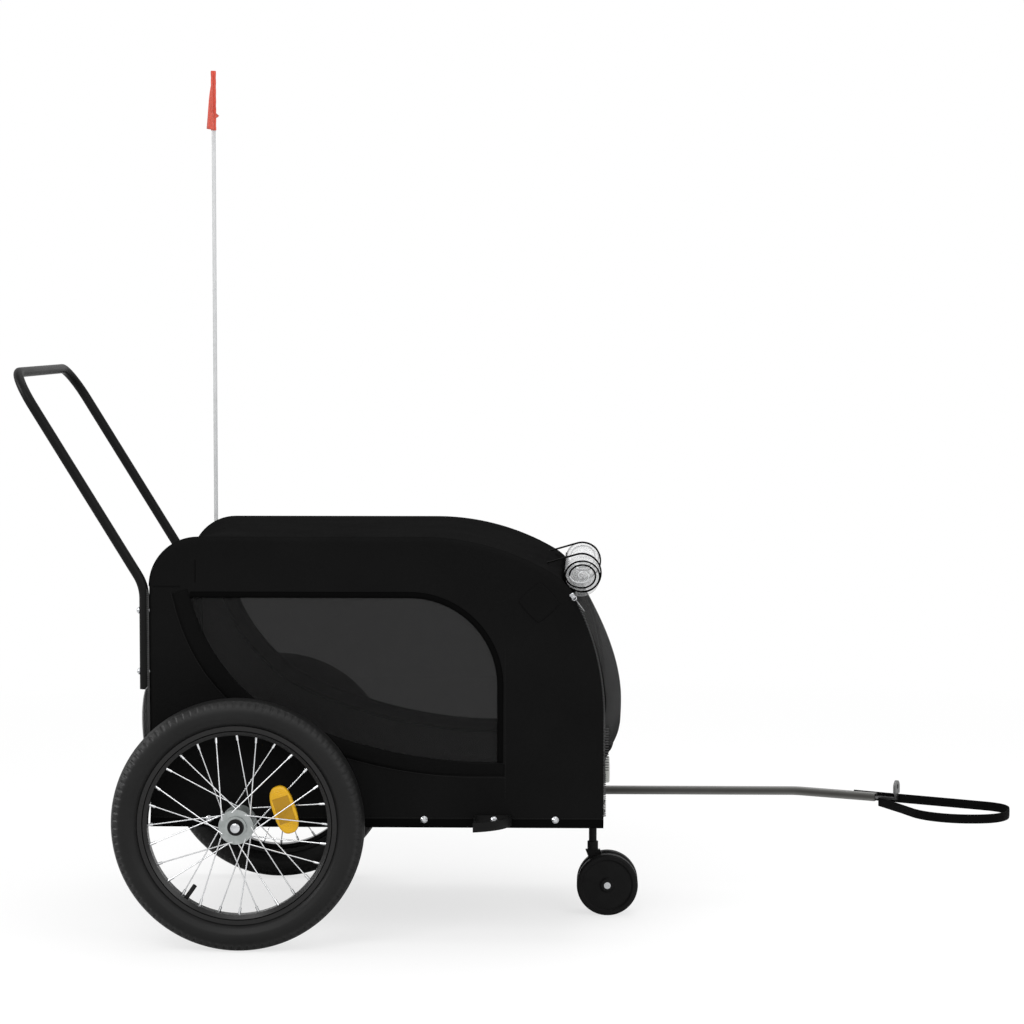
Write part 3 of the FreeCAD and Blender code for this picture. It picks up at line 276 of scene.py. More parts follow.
def lengths(line):
    """How far along a line each of its points lies."""
    return np.append(0, np.linalg.norm(np.diff(line, axis=0), axis=-1).cumsum())


def surface(
    name, points, closed=(False, False), texture=None, inside=CABIN_MIDDLE, sharp=None, capped=False
):
    """Quads over a grid of points, rows by columns, facing away from a point inside.

    Texture places are given, or else the length along the middle row and the middle column. A
    capped surface is closed by one face over its first column and one over its last.
    """
    rows, columns = points.shape[:2]
    faces = quads(rows, columns, closed)
    if texture is None:
        down, along = lengths(points[:, columns // 2]), lengths(points[rows // 2])
        texture = np.stack(np.meshgrid(down, along, indexing="ij"), -1) / 1000
    flat = points.reshape(-1, 3)
    corner = flat[faces]
    normal = np.cross(corner[:, 2] - corner[:, 0], corner[:, 3] - corner[:, 1])
    faces = faces.tolist()
    if capped:
        first, last = (list(range(start, len(flat), columns)) for start in (0, columns - 1))
        faces += [first[::-1], last]
    if (normal * (corner.mean(1) - inside)).sum() < 0:
        faces = [face[::-1] for face in faces]
    return build(name, flat, faces, texture.reshape(-1, 2), sharp)


def wall(piece, thickness, offset=-1.0):
    """Gives a sheet its thickness in mm behind its face."""
    solid = piece.modifiers.new("cloth", "SOLIDIFY")
    solid.thickness = thickness / 1000
    solid.offset = offset
    return piece


def fit(piece, finish, body, slot, *nodes):
    """Puts a finish on a piece, lets it ride on its body and stand for its CAD nodes."""
    piece.data.materials.append(finish)
    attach(piece, body)
    if nodes:
        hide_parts(*nodes)
    return piece


def sew(piece, thickness, cloth, *nodes, body="frame"):
    """Gives a sheet of cover cloth its thickness and finish, and fits it to its body."""
    return fit(wall(piece, thickness), cloth, body, "cover_cloth", *nodes)


def arc(centre, radius, start, stop, count):
    """Points on a circle from one angle to another, in degrees."""
    turn = np.radians(np.linspace(start, stop, count))
    return np.stack([centre[0] + radius * np.cos(turn), centre[1] + radius * np.sin(turn)], -1)


def bow(first, second, radius, count):
    """Points on the arc of a radius between two points, bulging to the right of the way along."""
    first, second = np.array(first, float), np.array(second, float)
    chord = second - first
    span = np.hypot(*chord)
    left = np.array([-chord[1], chord[0]]) / span
    centre = (first + second) / 2 + left * math.sqrt(radius ** 2 - span ** 2 / 4)
    start, stop = (np.degrees(np.arctan2(*(spot - centre)[::-1])) for spot in (first, second))
    return arc(centre, radius, start, start + (stop - start + 180) % 360 - 180, count)


def even(line, count, closed=False):
    """A line of points laid out again at even steps along its length."""
    line = np.asarray(line, float)
    if closed:
        line = np.concatenate([line, line[:1]])
    steps = np.linspace(0, lengths(line)[-1], count, endpoint=not closed)
    return np.stack([np.interp(steps, lengths(line), axis) for axis in line.T], -1)


ROOF_LINE = np.concatenate([
    arc((-68, 570), 78, 180, 90, 40),
    [(285, 648)],
    arc((285, 241), 407, 90, 60, 40)[1:],
    arc((437.5, 505.14), 102, 60, 28, 30)[1:],
])
FRONT_LINE = np.concatenate([arc((174.38, 365.25), 400, 28, 0, 60), [(FRONT_FACE, CLOTH_FOOT)]])
SIDE_LINE = np.concatenate([ROOF_LINE, FRONT_LINE[1:], [(REAR_FACE, CLOTH_FOOT)]])
SWEEP_LINE = np.concatenate([
    bow(SILL_REAR, SILL_BEND, 301, 40), bow(SILL_BEND, SILL_FRONT, 772, 60)[1:]
])
ARCH_LINE = np.concatenate([[SILL_FRONT], arc(ARCH_MIDDLE, ARCH_RADIUS, 0, 90, 40), [SILL_REAR]])
WINDOW_LINE = np.concatenate([ARCH_LINE[:-1], SWEEP_LINE[:-1]])


def reach(line, middle, turns):
    """How far a closed outline lies from a middle point along each of the given directions."""
    dense = even(line, 4000, True) - middle
    turn = np.arctan2(dense[:, 1], dense[:, 0])
    return np.interp(turns, turn, np.hypot(dense[:, 0], dense[:, 1]), period=2 * np.pi)


def ring(outside, inside, corners, middle, columns):
    """A flat ring between two outlines: rays from a middle point, stepped closer to the outside.

    The rays meet every corner. Gives the points, rays by steps, and how far each lies from the
    outside along its ray.
    """
    spots = np.concatenate([even(outside, 260, True), np.array(corners, float)]) - middle
    turns = np.unique(np.round(np.arctan2(spots[:, 1], spots[:, 0]), 4))
    far = reach(outside, middle, turns)[:, None]
    near = reach(inside, middle, turns)[:, None]
    radius = near + (far - near) * (1 - (1 - np.linspace(0, 1, columns)) ** 1.8)
    ways = np.stack([np.cos(turns), np.sin(turns)], -1)[:, None]
    return middle + radius[..., None] * ways, far - radius


def ramp(values, start, span):
    """Zero up to the start, then rising evenly to one a span further on."""
    return np.clip((values - start) / span, 0, 1)


def ripple(first, second, seed, size):
    """Soft uneven cloth: the mean of a few long waves with seeded directions and phases."""
    chance = np.random.default_rng(seed)
    ways = chance.normal(0, 1 / size, (6, 2))
    phases = chance.uniform(0, 2 * np.pi, 6)
    waves = first[..., None] * ways[:, 0] + second[..., None] * ways[:, 1] + phases
    return np.sin(waves).mean(-1)


def upright(flat, level):
    """Points of an upright plane, X and Z, set across the trailer at a level, Y."""
    return np.stack(np.broadcast_arrays(flat[..., 0], level, flat[..., 1]), -1)


def coated_cloth(name, low, high, rough, shine=0.02):
    """Tight plain weave under a thin coating: crossed threads, a soft sheen and slow drift."""
    paint = Paint(name, shine)
    threads = paint.weave(7200)
    drift = paint.noise(9, 4)
    return paint.feed(
        base_color=paint.mix(drift * 0.75 + threads * 0.2, low, high),
        roughness=rough + drift * 0.12,
        normal=paint.bump(threads + paint.noise(220, 3) * 1.2, 0.00025, 0.6),
    )


panel_cloth = coated_cloth("panel_cloth", grey(16), grey(23), 0.62, 0.0)
painted_light_lining = coated_cloth("painted_light_lining", shade(186, 187, 188), shade(204, 205, 206), 0.7, 0.0)
corners = [(REAR_FACE, CLOTH_FOOT), (FRONT_FACE, CLOTH_FOOT), SILL_FRONT, SILL_REAR]
flat, edge = ring(SIDE_LINE, WINDOW_LINE, corners, np.array([200.0, 430.0]), 44)
grip = ramp(flat[:, -1:, 1], CURL_FOOT, CURL_RISE) * CURL
inward = np.clip(grip - edge, 0, None)
curl = grip - np.sqrt(np.clip(grip ** 2 - inward ** 2, 0, None))
slack = ramp(edge, 0, 60) * ramp(flat[..., 1], 205, 60)
for side, sign in SIDES:
    level = PANEL_FACE - curl + slack * ripple(flat[..., 0], flat[..., 1], 11 + sign, 70) * 1.3
    panel = surface(f"panel_cloth_{side}", upright(flat, sign * level), (True, False), flat / 1000)
    sew(panel, 1.6, panel_cloth, f"side_panel_{side}")
    # The inside face is painted pale grey as painted light, seen through the windows.
    panel.data.materials.append(painted_light_lining)
    panel.modifiers["cloth"].material_offset = 1


# ---- Window bindings, hems, seams and patches ----
# Folded tape sewn round each window: narrow over the top and front, wide along the swept sill.
# A hem is turned up along the rail, and a square of hook tape is sewn behind the front corner.

def unit(vectors):
    """The same directions at length one."""
    return vectors / np.linalg.norm(vectors, axis=-1, keepdims=True)


def leftward(line):
    """The way to the left of a line of points in a plane."""
    way = unit(np.gradient(line, axis=0))
    return np.stack([-way[:, 1], way[:, 0]], -1)


def strip(name, line, offsets, lifts, sign):
    """A flat tape along a line on a side panel: offsets to its left and lifts off the panel, in mm.

    Both are rows across the tape; an offset may change along it.
    """
    flat = line[:, None] + leftward(line)[:, None] * offsets[..., None]
    return surface(name, upright(flat, sign * (PANEL_FACE + lifts)))


def bars(name, line, up, size, pitch, shift=0.0):
    """Small blocks along a line, sized along, across and up; shift moves them aside in turn."""
    count = int(lengths(line)[-1] / pitch)
    spots = even(line, count)
    way = unit(np.gradient(spots, axis=0))
    across = unit(np.cross(np.asarray(up, float), way))
    spots = spots + across * shift * (1 - 2 * (np.arange(count) % 2))[:, None]
    sides = np.array([(x, y, z) for x in (-1, 1) for y in (-1, 1) for z in (-1, 1)]) / 2 * size
    axes = np.stack([way, across, np.cross(way, across)], 1)
    points = spots[:, None] + np.einsum("ck,nkd->ncd", sides, axes)
    block = np.array([
        (0, 1, 3, 2), (4, 6, 7, 5), (0, 4, 5, 1), (2, 3, 7, 6), (0, 2, 6, 4), (1, 5, 7, 3),
    ])
    faces = (block[None] + 8 * np.arange(count)[:, None, None]).reshape(-1, 4)
    return build(name, points.reshape(-1, 3), faces.tolist(), sharp=30)


tape_and_rim_shade_cloth = coated_cloth("binding_tape_and_rim_shade", grey(5), grey(10), 0.7, 0.01)
sill_and_seam_shade_cloth = coated_cloth("sill_tape", grey(11), grey(17), 0.7, 0.01)
thread = mottled("sewing_thread", grey(12), grey(26), (2500, 1), 0.1, (0.7, 0))
crown = np.array([0.2, 1.3, 1.6, 1.3, 0.2])
LINING_DEPTH = 4.2
sill = np.concatenate([[SWEEP_LINE[0] + (-4.2, 13)], SWEEP_LINE, [SWEEP_LINE[-1] + (11, -0.6)]])
sill = even(sill, 150)
sill_width = np.interp(np.linspace(0, 1, 150), [0, 0.2, 0.75, 1], [26, 29, 25, 22])[:, None]
wide_tape, narrow_tape = -np.linspace(0, 1, 5) * sill_width, np.linspace(0.8, -9, 5)
arch = even(ARCH_LINE, 150)
hem_line = even([(-145.5, 187.4), (574, 187.4)], 160)
seam_up, seam_back = even([(-72, 578), (-72, 612)], 30), even([(-139, 570), (-96, 570)], 30)
seam_shade_width = np.linspace(-1.0, 1.0, 5)
PATCH_HALF, PATCH_PLACE = 25.5, np.array([472.5, 546.0])
patch_u, patch_v = np.meshgrid(np.linspace(-1, 1, 24), np.linspace(-1, 1, 24), indexing="ij")
pulled_in = 1 - 0.09 * (patch_u * patch_v)[..., None] ** 2
tilt = math.radians(42)
tilted = np.array([(math.cos(tilt), math.sin(tilt)), (-math.sin(tilt), math.cos(tilt))])
patch_flat = np.stack([patch_u, patch_v], -1) * pulled_in * PATCH_HALF @ tilted + PATCH_PLACE
patch_lift = 0.2 + 0.8 * np.clip(9 * (1 - np.maximum(np.abs(patch_u), np.abs(patch_v))), 0, 1)
for side, sign in SIDES:
    for name, line, offsets, lifts, thickness, cloth in (
        ("arch_tape", arch, narrow_tape, crown, 1.5, tape_and_rim_shade_cloth),
        ("sill_tape", sill, wide_tape, crown, 1.5, sill_and_seam_shade_cloth),
        ("sill_lining", sill, wide_tape, -LINING_DEPTH - crown, 1.2, sill_and_seam_shade_cloth),
        ("arch_lining", arch, narrow_tape, -LINING_DEPTH - crown, 1.2, tape_and_rim_shade_cloth),
        ("hem", hem_line, np.linspace(0, 13, 5), crown * 0.8, 1.2, tape_and_rim_shade_cloth),
        # The corner seams are low strips in the darker sill cloth: painted shade along the seams.
        ("corner_seam_shade_up", seam_up, seam_shade_width, crown * 0.4, 0.8, sill_and_seam_shade_cloth),
        ("corner_seam_shade_back", seam_back, seam_shade_width, crown * 0.4, 0.8, sill_and_seam_shade_cloth),
    ):
        sew(strip(f"{name}_{side}", line, offsets, lifts, sign), thickness, cloth)
    for name, line in (
        ("sill_stitches", sill - leftward(sill) * (sill_width + 1.2)),
        ("front_stitches", even([(418.5, 470), (418.5, 236)], 60)),
        ("hem_stitches", even([(-140, 202.5), (568, 202.5)], 120)),
    ):
        line = upright(line, sign * (PANEL_FACE + 0.5))
        row = bars(f"{name}_{side}", line, (0, sign, 0), (2.8, 0.8, 0.7), 4.2)
        fit(row, thread, "frame", "cover_cloth")
    spots = upright(patch_flat, sign * (PANEL_FACE + patch_lift))
    sew(surface(f"hook_patch_{side}", spots), 0.8, panel_cloth)


# ---- Mesh windows ----
# Fine black polyester mesh that lets a little light through. It is sewn in behind the binding
# all round, and bows out slightly in the middle.

def fine_mesh(name, low, high, closed_share):
    """Open mesh: small round holes in rows, seen as gaps in the cloth, with the threads raised."""
    paint = Paint(name, 0.02, roughness=0.7)
    holes = paint.weave(8200)
    drift = paint.noise(4, 1)
    return paint.feed(
        base_color=paint.mix(drift * 0.5 + 0.25 - holes * 0.2, low, high),
        alpha=closed_share - holes.high(0.0) * 0.22,
        normal=paint.bump(0.0 - holes, 0.0003, 0.6),
    )


window_mesh = fine_mesh("window_mesh", grey(25), grey(29), 0.908)
MESH_SEAM = 8
across = np.linspace(-86, 414, 110)
low = np.interp(across, SWEEP_LINE[:, 0], SWEEP_LINE[:, 1]) - MESH_SEAM
high = ARCH_MIDDLE[1] + np.sqrt(
    (ARCH_RADIUS + MESH_SEAM) ** 2 - np.clip(across - ARCH_MIDDLE[0], 0, None) ** 2
)
up_share = np.linspace(0, 1, 40)
height = low[:, None] + (high - low)[:, None] * up_share
wide = np.broadcast_to(across[:, None], height.shape)
swell = np.sin(np.pi * up_share) * np.sin(np.pi * np.linspace(0, 1, 110))[:, None]
for side, sign in SIDES:
    level = PANEL_FACE - 2.4 + 1.6 * swell + 0.4 * swell * ripple(wide, height, 31 + sign, 90)
    window = surface(f"window_mesh_{side}", np.stack([wide, sign * level, height], -1))
    fit(window, window_mesh, "frame", "mesh_cloth", f"side_window_{side}")


# ---- Roof ----
# One sheet of the same coated cloth over the hoops, from the rear seam to the front door, in a
# lighter tone than the sides: painted light, for the light on its upward face. It is slack between
# the hoops behind the first bar, gathers in slanting folds over the brow and gives way under the
# rolled rain cover.

# The roof's lighter tone is painted light on its upward face.
roof_cloth_painted_light = coated_cloth("roof_cloth_painted_light", grey(20), grey(29), 0.6, 0.0)
line = even(ROOF_LINE, 150)
along = lengths(line)
outward = leftward(line)
half = PANEL_FACE - CURL + 1.5
over = np.linspace(-half, half, 190)
bow_share = 1 - np.abs(over / half) ** 2.4
rear_slack = np.sin(np.pi * ramp(along, 0, 150)) ** 1.3 * 15
bay = np.sin(np.pi * ramp(line[:, 0], -40, 240)) * 2.5
bay += np.sin(np.pi * ramp(line[:, 0], 200, 255)) * 2.5
FOLD_PITCH = 170
folds = ramp(line[:, 0], 405, 60) * ramp(along, along[-1], -25)
drape = (over - 2.0 * (line[:, :1] - 470) + 87) / FOLD_PITCH
crest = 1 - 2 * np.abs(drape - np.round(drape))
held = ramp(np.abs(over), half, -22) * (0.3 + 0.7 * ramp(over, 90, -120))
gather = (crest ** 5 * 9.5 - 1.2) * folds[:, None] * held
sag = -(rear_slack + bay)[:, None] * bow_share + gather + 0.3
ROLL, ROLL_BED = np.array([538.97, 581.27]), 31.4
to_roll = np.hypot(line[:, 0] - ROLL[0], line[:, 1] - ROLL[1])[:, None]
under_roll = ramp(np.abs(over), 225, -18)
sag = np.minimum(sag, sag * (1 - under_roll) + (to_roll - ROLL_BED) * under_roll)
roof = surface("roof_cloth_painted_light", upright(line[:, None] + outward[:, None] * sag[..., None], over))
sew(roof, 1.6, roof_cloth_painted_light, "roof_panel")


def tube(name, line, up, section, rolled=False):
    """A section carried along a line, closed at both ends: across and up from the line, in mm."""
    way = unit(np.roll(line, -1, 0) - np.roll(line, 1, 0) if rolled else np.gradient(line, axis=0))
    across = unit(np.cross(way, np.asarray(up, float)))
    rise = np.cross(across, way)
    points = line[:, None] + across[:, None] * section[:, :1] + rise[:, None] * section[:, 1:]
    rows, columns = points.shape[:2]
    faces = quads(rows, columns, (rolled, True)).tolist()
    if not rolled:
        faces += [list(range(columns)), list(range(columns * (rows - 1), columns * rows))[::-1]]
    grid = np.stack(np.meshgrid(lengths(line), lengths(section), indexing="ij"), -1)
    return build(name, points.reshape(-1, 3), faces, grid.reshape(-1, 2) / 1000, sharp=50)


def full_turn(count):
    """Angles evenly round a circle."""
    return np.linspace(0, 2 * np.pi, count, endpoint=False)


def circle(radius, count=10):
    """A round section, given so that a tube faces outwards."""
    turn = full_turn(count)
    return np.stack([np.cos(turn), np.sin(turn)], -1) * radius


for side, sign in SIDES:
    edge_line = upright(line - (0, 0.4), sign * (half - 0.6))
    cord = tube(f"roof_piping_{side}", edge_line, (0, sign, 0), circle(1.0))
    fit(cord, panel_cloth, "frame", "cover_cloth")


# ---- Rear panel ----
# The same cloth closes the back below the roof, sewn to the turned edges of the side panels, with
# a wide mouth for the rear door.

REAR_HALF, MOUTH_HALF = 264.6, 225
half = PANEL_FACE - CURL
right_edge = [(REAR_HALF, CLOTH_FOOT), (REAR_HALF, CURL_FOOT)]
right_edge += [(half, CURL_FOOT + CURL_RISE), (half, 570)]
outside = np.roll(right_edge + [(-place, height) for place, height in right_edge[::-1]], 1, 0)
mouth = np.array([
    (-MOUTH_HALF, 236), (MOUTH_HALF, 236), (MOUTH_HALF, 562), (-MOUTH_HALF, 562),
], float)
flat, edge = ring(outside, mouth, np.concatenate([outside, mouth]), np.array([0.0, 400.0]), 10)
swell = np.sin(np.pi * ramp(edge, 0, edge.max(1, keepdims=True)))
depth = REAR_FACE - swell * (0.8 + 0.9 * ripple(flat[..., 0], flat[..., 1], 51, 45))
spots = np.stack([depth, flat[..., 0], flat[..., 1]], -1)
rear = surface("rear_cloth", spots, (True, False), flat / 1000)
sew(rear, 1.6, panel_cloth, "rear_panel")


# ---- Rear door ----
# A mesh flap bound in tape on all four sides, sewn along its top edge so that it rolls up, and
# bowed out by the slack of the mesh.

def lifted(points, distance, inside=CABIN_MIDDLE):
    """A grid of points moved along its own normal, away from a point inside, in mm."""
    normal = unit(np.cross(np.gradient(points, axis=0), np.gradient(points, axis=1)))
    if (normal * (points - inside)).sum() < 0:
        normal = -normal
    return points + normal * distance


def bound_edge(name, points, body):
    """Tape folded over the edge of a mesh flap: a strip of its own grid, crowned on both faces."""
    lift = np.array([0.9, 1.4, 1.4, 0.4])[:, None]
    return sew(surface(name, lifted(points, lift)), 2.6, tape_and_rim_shade_cloth, body=body)


door_mesh = fine_mesh("door_mesh", grey(34), grey(48), 0.96)
share = (1 - np.cos(np.pi * np.linspace(0, 1, 60))) / 2
side_share = np.sin(np.pi / 2 * np.linspace(-1, 1, 64))
bulge = 9 * (1 - side_share ** 2) * np.sin(np.pi * share[:, None]) ** 0.9
DOOR_HALF, DOOR_HEAD, DOOR_HEIGHT = 224.4, 561.4, 324.8
over, drop = np.broadcast_arrays(DOOR_HALF * side_share, DOOR_HEAD - DOOR_HEIGHT * share[:, None])
bulge = bulge * (1 + 0.12 * ripple(over, drop, 61, 60))
spots = np.stack([REAR_FACE - 0.6 - bulge, over, drop], -1)
rear_door = surface("rear_door_mesh", spots)
fit(rear_door, door_mesh, "rear_door", "mesh_cloth", "rear_door")
# The tapes start below the sewn edge, which stays free to turn.
bound_edge("rear_door_tape_right", spots[4:, [0, 5, 7, 9]], "rear_door")
bound_edge("rear_door_tape_left", spots[4:, [-1, -6, -8, -10]], "rear_door")
bound_edge("rear_door_tape_foot", spots[[-1, -5, -7, -9]].swapaxes(0, 1), "rear_door")
bound_edge("rear_door_tape_head", spots[[4, 6, 7, 9]].swapaxes(0, 1), "rear_door")


# ---- Front lower panel ----
# A strip of the cover cloth across the front below the door, sewn to both side panels and
# turned under at the rail.

share = np.linspace(0, 1, 20)[:, None]
APRON_FOOT, APRON_HEAD, APRON_FACE = 191.3, 276.4, 574.1
height = APRON_FOOT + (APRON_HEAD - APRON_FOOT) * share
half_width = PANEL_FACE - ramp(height, CURL_FOOT, CURL_RISE) * CURL - 0.2
over = np.linspace(-1, 1, 70) * half_width
slack = np.sin(np.pi * share) * ripple(over, height + 0 * over, 71, 40) * 1.2
apron = surface("front_lower_cloth", np.stack([APRON_FACE + slack, over, height + 0 * over], -1))
sew(apron, 1.6, panel_cloth, "front_lower_panel")


# ---- Front door ----
# A mesh flap from the brow of the roof to the lower panel, zipped to the side panels, with a hem
# of cover cloth that fills its lower corners. The spare mesh in its middle bellies forwards.

DOOR_FOOT, DOOR_DROP, DOOR_ROWS = 277, 283.7, 80
above_foot = FRONT_LINE[FRONT_LINE[:, 1] > DOOR_FOOT + 0.5]
front_run = np.concatenate([above_foot, [(FRONT_FACE, DOOR_FOOT)]])
share = (1 - np.cos(np.pi * np.linspace(0, 1, DOOR_ROWS))) / 2
dense = even(front_run, 2000)
row = np.stack([np.interp(share, np.linspace(0, 1, 2000), axis) for axis in dense.T], -1)
row_out = leftward(row)
half = PANEL_FACE - CURL + 0.4
belly = 29.4 * np.sin(np.pi * share ** 1.94).clip(0) ** 0.49
pinch = 0.6 + 2.0 * ramp(share[:, None], 0.62, 0.3) ** 1.5
swell = belly[:, None] * (1 - side_share ** 2).clip(0) ** pinch
over = np.broadcast_to(half * side_share, swell.shape)
swell = swell * (1 + 0.06 * ripple(over, 300 * share[:, None] + 0 * over, 81, 70)) + 0.2
near_foot = np.exp(-((share - 0.87) / 0.07) ** 2)[:, None]
pucker = np.sin(np.abs(over) * 0.17 + 1.5 * ripple(over, 0 * over, 83, 60)) * near_foot
swell = swell + pucker * 3.0 * (1 - side_share ** 8)


def trough(first, second, start, stop, width):
    """One along the line from start to stop, falling off beside it as a bell of the given width."""
    first, second = first - start[0], second - start[1]
    way = np.array(stop, float) - start
    part = np.clip((first * way[0] + second * way[1]) / (way @ way), 0, 1)
    return np.exp(-((first - part * way[0]) ** 2 + (second - part * way[1]) ** 2) / width ** 2)


# Two pulls in the mesh run in from each side, down to the hem.
fallen = DOOR_DROP * share[:, None]
swell = swell - 9 * trough(np.abs(over), fallen, (251, 208), (150, 262), 9)
swell = swell - 6 * trough(np.abs(over), fallen, (253, 238), (190, 274), 7)
spots = upright(row[:, None] + row_out[:, None] * swell[..., None], over)
front_door = surface("front_door_mesh", spots)
fit(front_door, door_mesh, "front_door", "mesh_cloth", "front_door")
door_pieces = [
    front_door,
    bound_edge("front_door_tape_right", spots[6:, [0, 2, 3, 4]], "front_door"),
    bound_edge("front_door_tape_left", spots[6:, [-1, -3, -4, -5]], "front_door"),
]


def door_rows(shares):
    """Points of the door's grid at given shares of its drop, column by column, between its rows."""
    last = DOOR_ROWS - 1
    row_at = np.clip(np.arccos(1 - 2 * np.clip(shares, 0, 1)) / np.pi * last, 0, last - 0.001)
    row_low = row_at.astype(int)
    part = (row_at - row_low)[..., None]
    column = np.arange(64)[:, None]
    return spots[row_low, column] * (1 - part) + spots[row_low + 1, column] * part


hem_share = ((204 + 72 * np.sqrt(1 - side_share ** 2)) / DOOR_DROP)[:, None]
hem_tape = door_rows(hem_share + np.array([-0.02, -0.007, 0.007, 0.02]))
door_pieces.append(bound_edge("front_door_tape_foot", hem_tape, "front_door"))
hem_start, hem_stop = hem_share + 0.02, 0.995
hem = lifted(door_rows(hem_start + (hem_stop - hem_start) * np.linspace(0, 1, 14)), 0.9)
door_pieces.append(sew(surface("front_door_hem", hem), 1.4, panel_cloth, body="front_door"))
# Each door piece gets a mesh of its own.
for piece in door_pieces:
    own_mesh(piece)


# ---- Zips ----
# Moulded nylon teeth along the front and rear edges of both side panels, and a metal slider with
# a flat tab at the head of each front zip.

front_teeth = mottled("front_zip_nylon", grey(34), grey(66), (300, 2), 0.2, (0.4, 0))
rear_teeth = mottled("rear_zip_nylon", grey(40), grey(72), (300, 2), 0.2, (0.4, 0))
# The rear gusset is the black cover cloth painted light grey: painted light on the rear edge.
gusset_cloth_painted_light = coated_cloth("gusset_cloth_painted_light", grey(112), grey(128), 0.6, 0.0)
FRONT_PITCH = 2.6
front_zip = even(FRONT_LINE, 400)[12:380]
front_out = leftward(front_zip)
rear_zip = even([(REAR_FACE - 2.2, 564), (REAR_FACE - 2.2, 300)], 60)
rear_cord = even([(REAR_FACE - 0.2, 562), (REAR_FACE - 0.2, 290)], 40)
GUSSET_HEAD, GUSSET_DROP, GUSSET_WIDTH = 410, 120, 26
gusset_up, gusset_in = np.meshgrid(np.linspace(0, 1, 40), np.linspace(0, 1, 12), indexing="ij")
gusset_swell = 9.5 * np.sin(np.pi * gusset_up ** 0.8) ** 0.6
gusset_swell *= np.sin(np.pi * (0.12 + 0.88 * gusset_in) ** 0.6)
for side, sign in SIDES:
    line = upright(front_zip + front_out * 0.7, sign * 259.0)
    up = upright(front_out, sign * 0.5)[: int(lengths(line)[-1] / FRONT_PITCH)]
    teeth = bars(f"front_zip_{side}", line, up, (1.5, 3.6, 1.8), FRONT_PITCH, 0.7)
    fit(teeth, front_teeth, "frame", "black_plastic")
    line = upright(rear_zip, sign * 264.3)
    teeth = bars(f"rear_zip_{side}", line, (0, sign, 0), (1.9, 1.7, 1.2), 3.4)
    fit(teeth, rear_teeth, "frame", "black_plastic")
    line = upright(rear_cord, sign * 264.9)
    cord = tube(f"rear_edge_cord_{side}", line, (0, sign, 0), circle(0.7, 8))
    fit(cord, rear_teeth, "frame", "black_plastic")
    spots = np.stack([
        REAR_FACE - 3.4 - gusset_swell + gusset_in * 2,
        sign * (264.2 - GUSSET_WIDTH * gusset_in),
        GUSSET_HEAD - GUSSET_DROP * gusset_up,
    ], -1)
    sew(surface(f"rear_gusset_{side}", spots), 1.2, gusset_cloth_painted_light)
    for name, place, ends, size, pitch in (
        ("zip_end", 578.4, (345, 279), (1.5, 8.0, 1.2), 3.7),
        ("zip_foot", 576.4, (272, 206), (1.6, 3.6, 1.4), 3.0),
    ):
        line = upright(even([(place, height) for height in ends], 40), sign * 258.6)
        teeth = bars(f"{name}_{side}", line, (0, sign, 0), size, pitch)
        fit(teeth, front_teeth, "frame", "black_plastic")


def oblong(length, width, power, count):
    """A rounded oblong: the outline where x to a power plus y to a power is the same all round."""
    ray = circle(1.0, count)
    ray /= (np.abs(ray) ** power).sum(-1, keepdims=True) ** (1 / power)
    return ray * np.array([length, width]) / 2


def plate(name, middle, along, up, length, width, thickness, taper=0.0, power=4.0, edge=0.5):
    """A flat piece with rounded corners and eased edges, narrowed to one end by the taper.

    The section runs from the middle out over the face, round the edge and back underneath.
    """
    rim = oblong(length, width, power, 64)
    rim[:, 1] *= 1 - taper * rim[:, 0] / length
    inset = 1 - 2 * edge / min(length, width)
    share = np.array([0.3, 0.65, inset, 1.0, 1.0, inset, 0.65, 0.3])
    ease = 1 - 2 * edge / thickness
    rise = np.array([1, 1, 1, ease, -ease, -1, -1, -1]) * thickness / 2
    flat = rim[:, None] * share[None, :, None]
    across = np.cross(up, along)
    spots = middle + flat[..., :1] * along + flat[..., 1:] * across + rise[:, None] * np.asarray(up)
    return surface(name, spots, (True, False), flat / 1000, inside=middle, sharp=40, capped=True)


slider_metal = bright_metal("slider_metal", shade(120, 121, 123), shade(200, 201, 203), 0.2, 120)
lean = math.radians(52)
down = np.array([math.cos(lean), 0, -math.sin(lean)])
back = np.array([math.sin(lean), 0, math.cos(lean)])
head = np.array([529.5, 0, 550.7])
pulls = []
for side, sign in SIDES:
    face = np.array([0.0, sign, 0.0])
    spot = head + face * (PANEL_FACE + 1.0)
    slider = plate(f"zip_slider_{side}", spot - 7 * down, down, face, 9, 7, 2.2, 0.5, 4.0)
    loop = spot - 3 * down + face * 1.6 + circle(3.4, 24) @ np.array([down, back])
    ring_link = tube(f"zip_ring_{side}", loop, face, circle(0.75, 8), True)
    tab_spot = spot + 11 * down + face * 3.0
    tab = plate(f"zip_tab_{side}", tab_spot, down, back, 24, 4.6, 1.2, -0.3, 5.0)
    pulls += [slider, ring_link, tab]
for piece in pulls:
    fit(piece, slider_metal, "frame", "zinc")
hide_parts("zip_pulls")


# ---- Rolled rain cover and its ties ----
# A clear vinyl sheet with a black bound edge, rolled up on the brow of the roof and held by two
# webbing ties. It is milky where its turns lie over each other, and its weight flattens it.

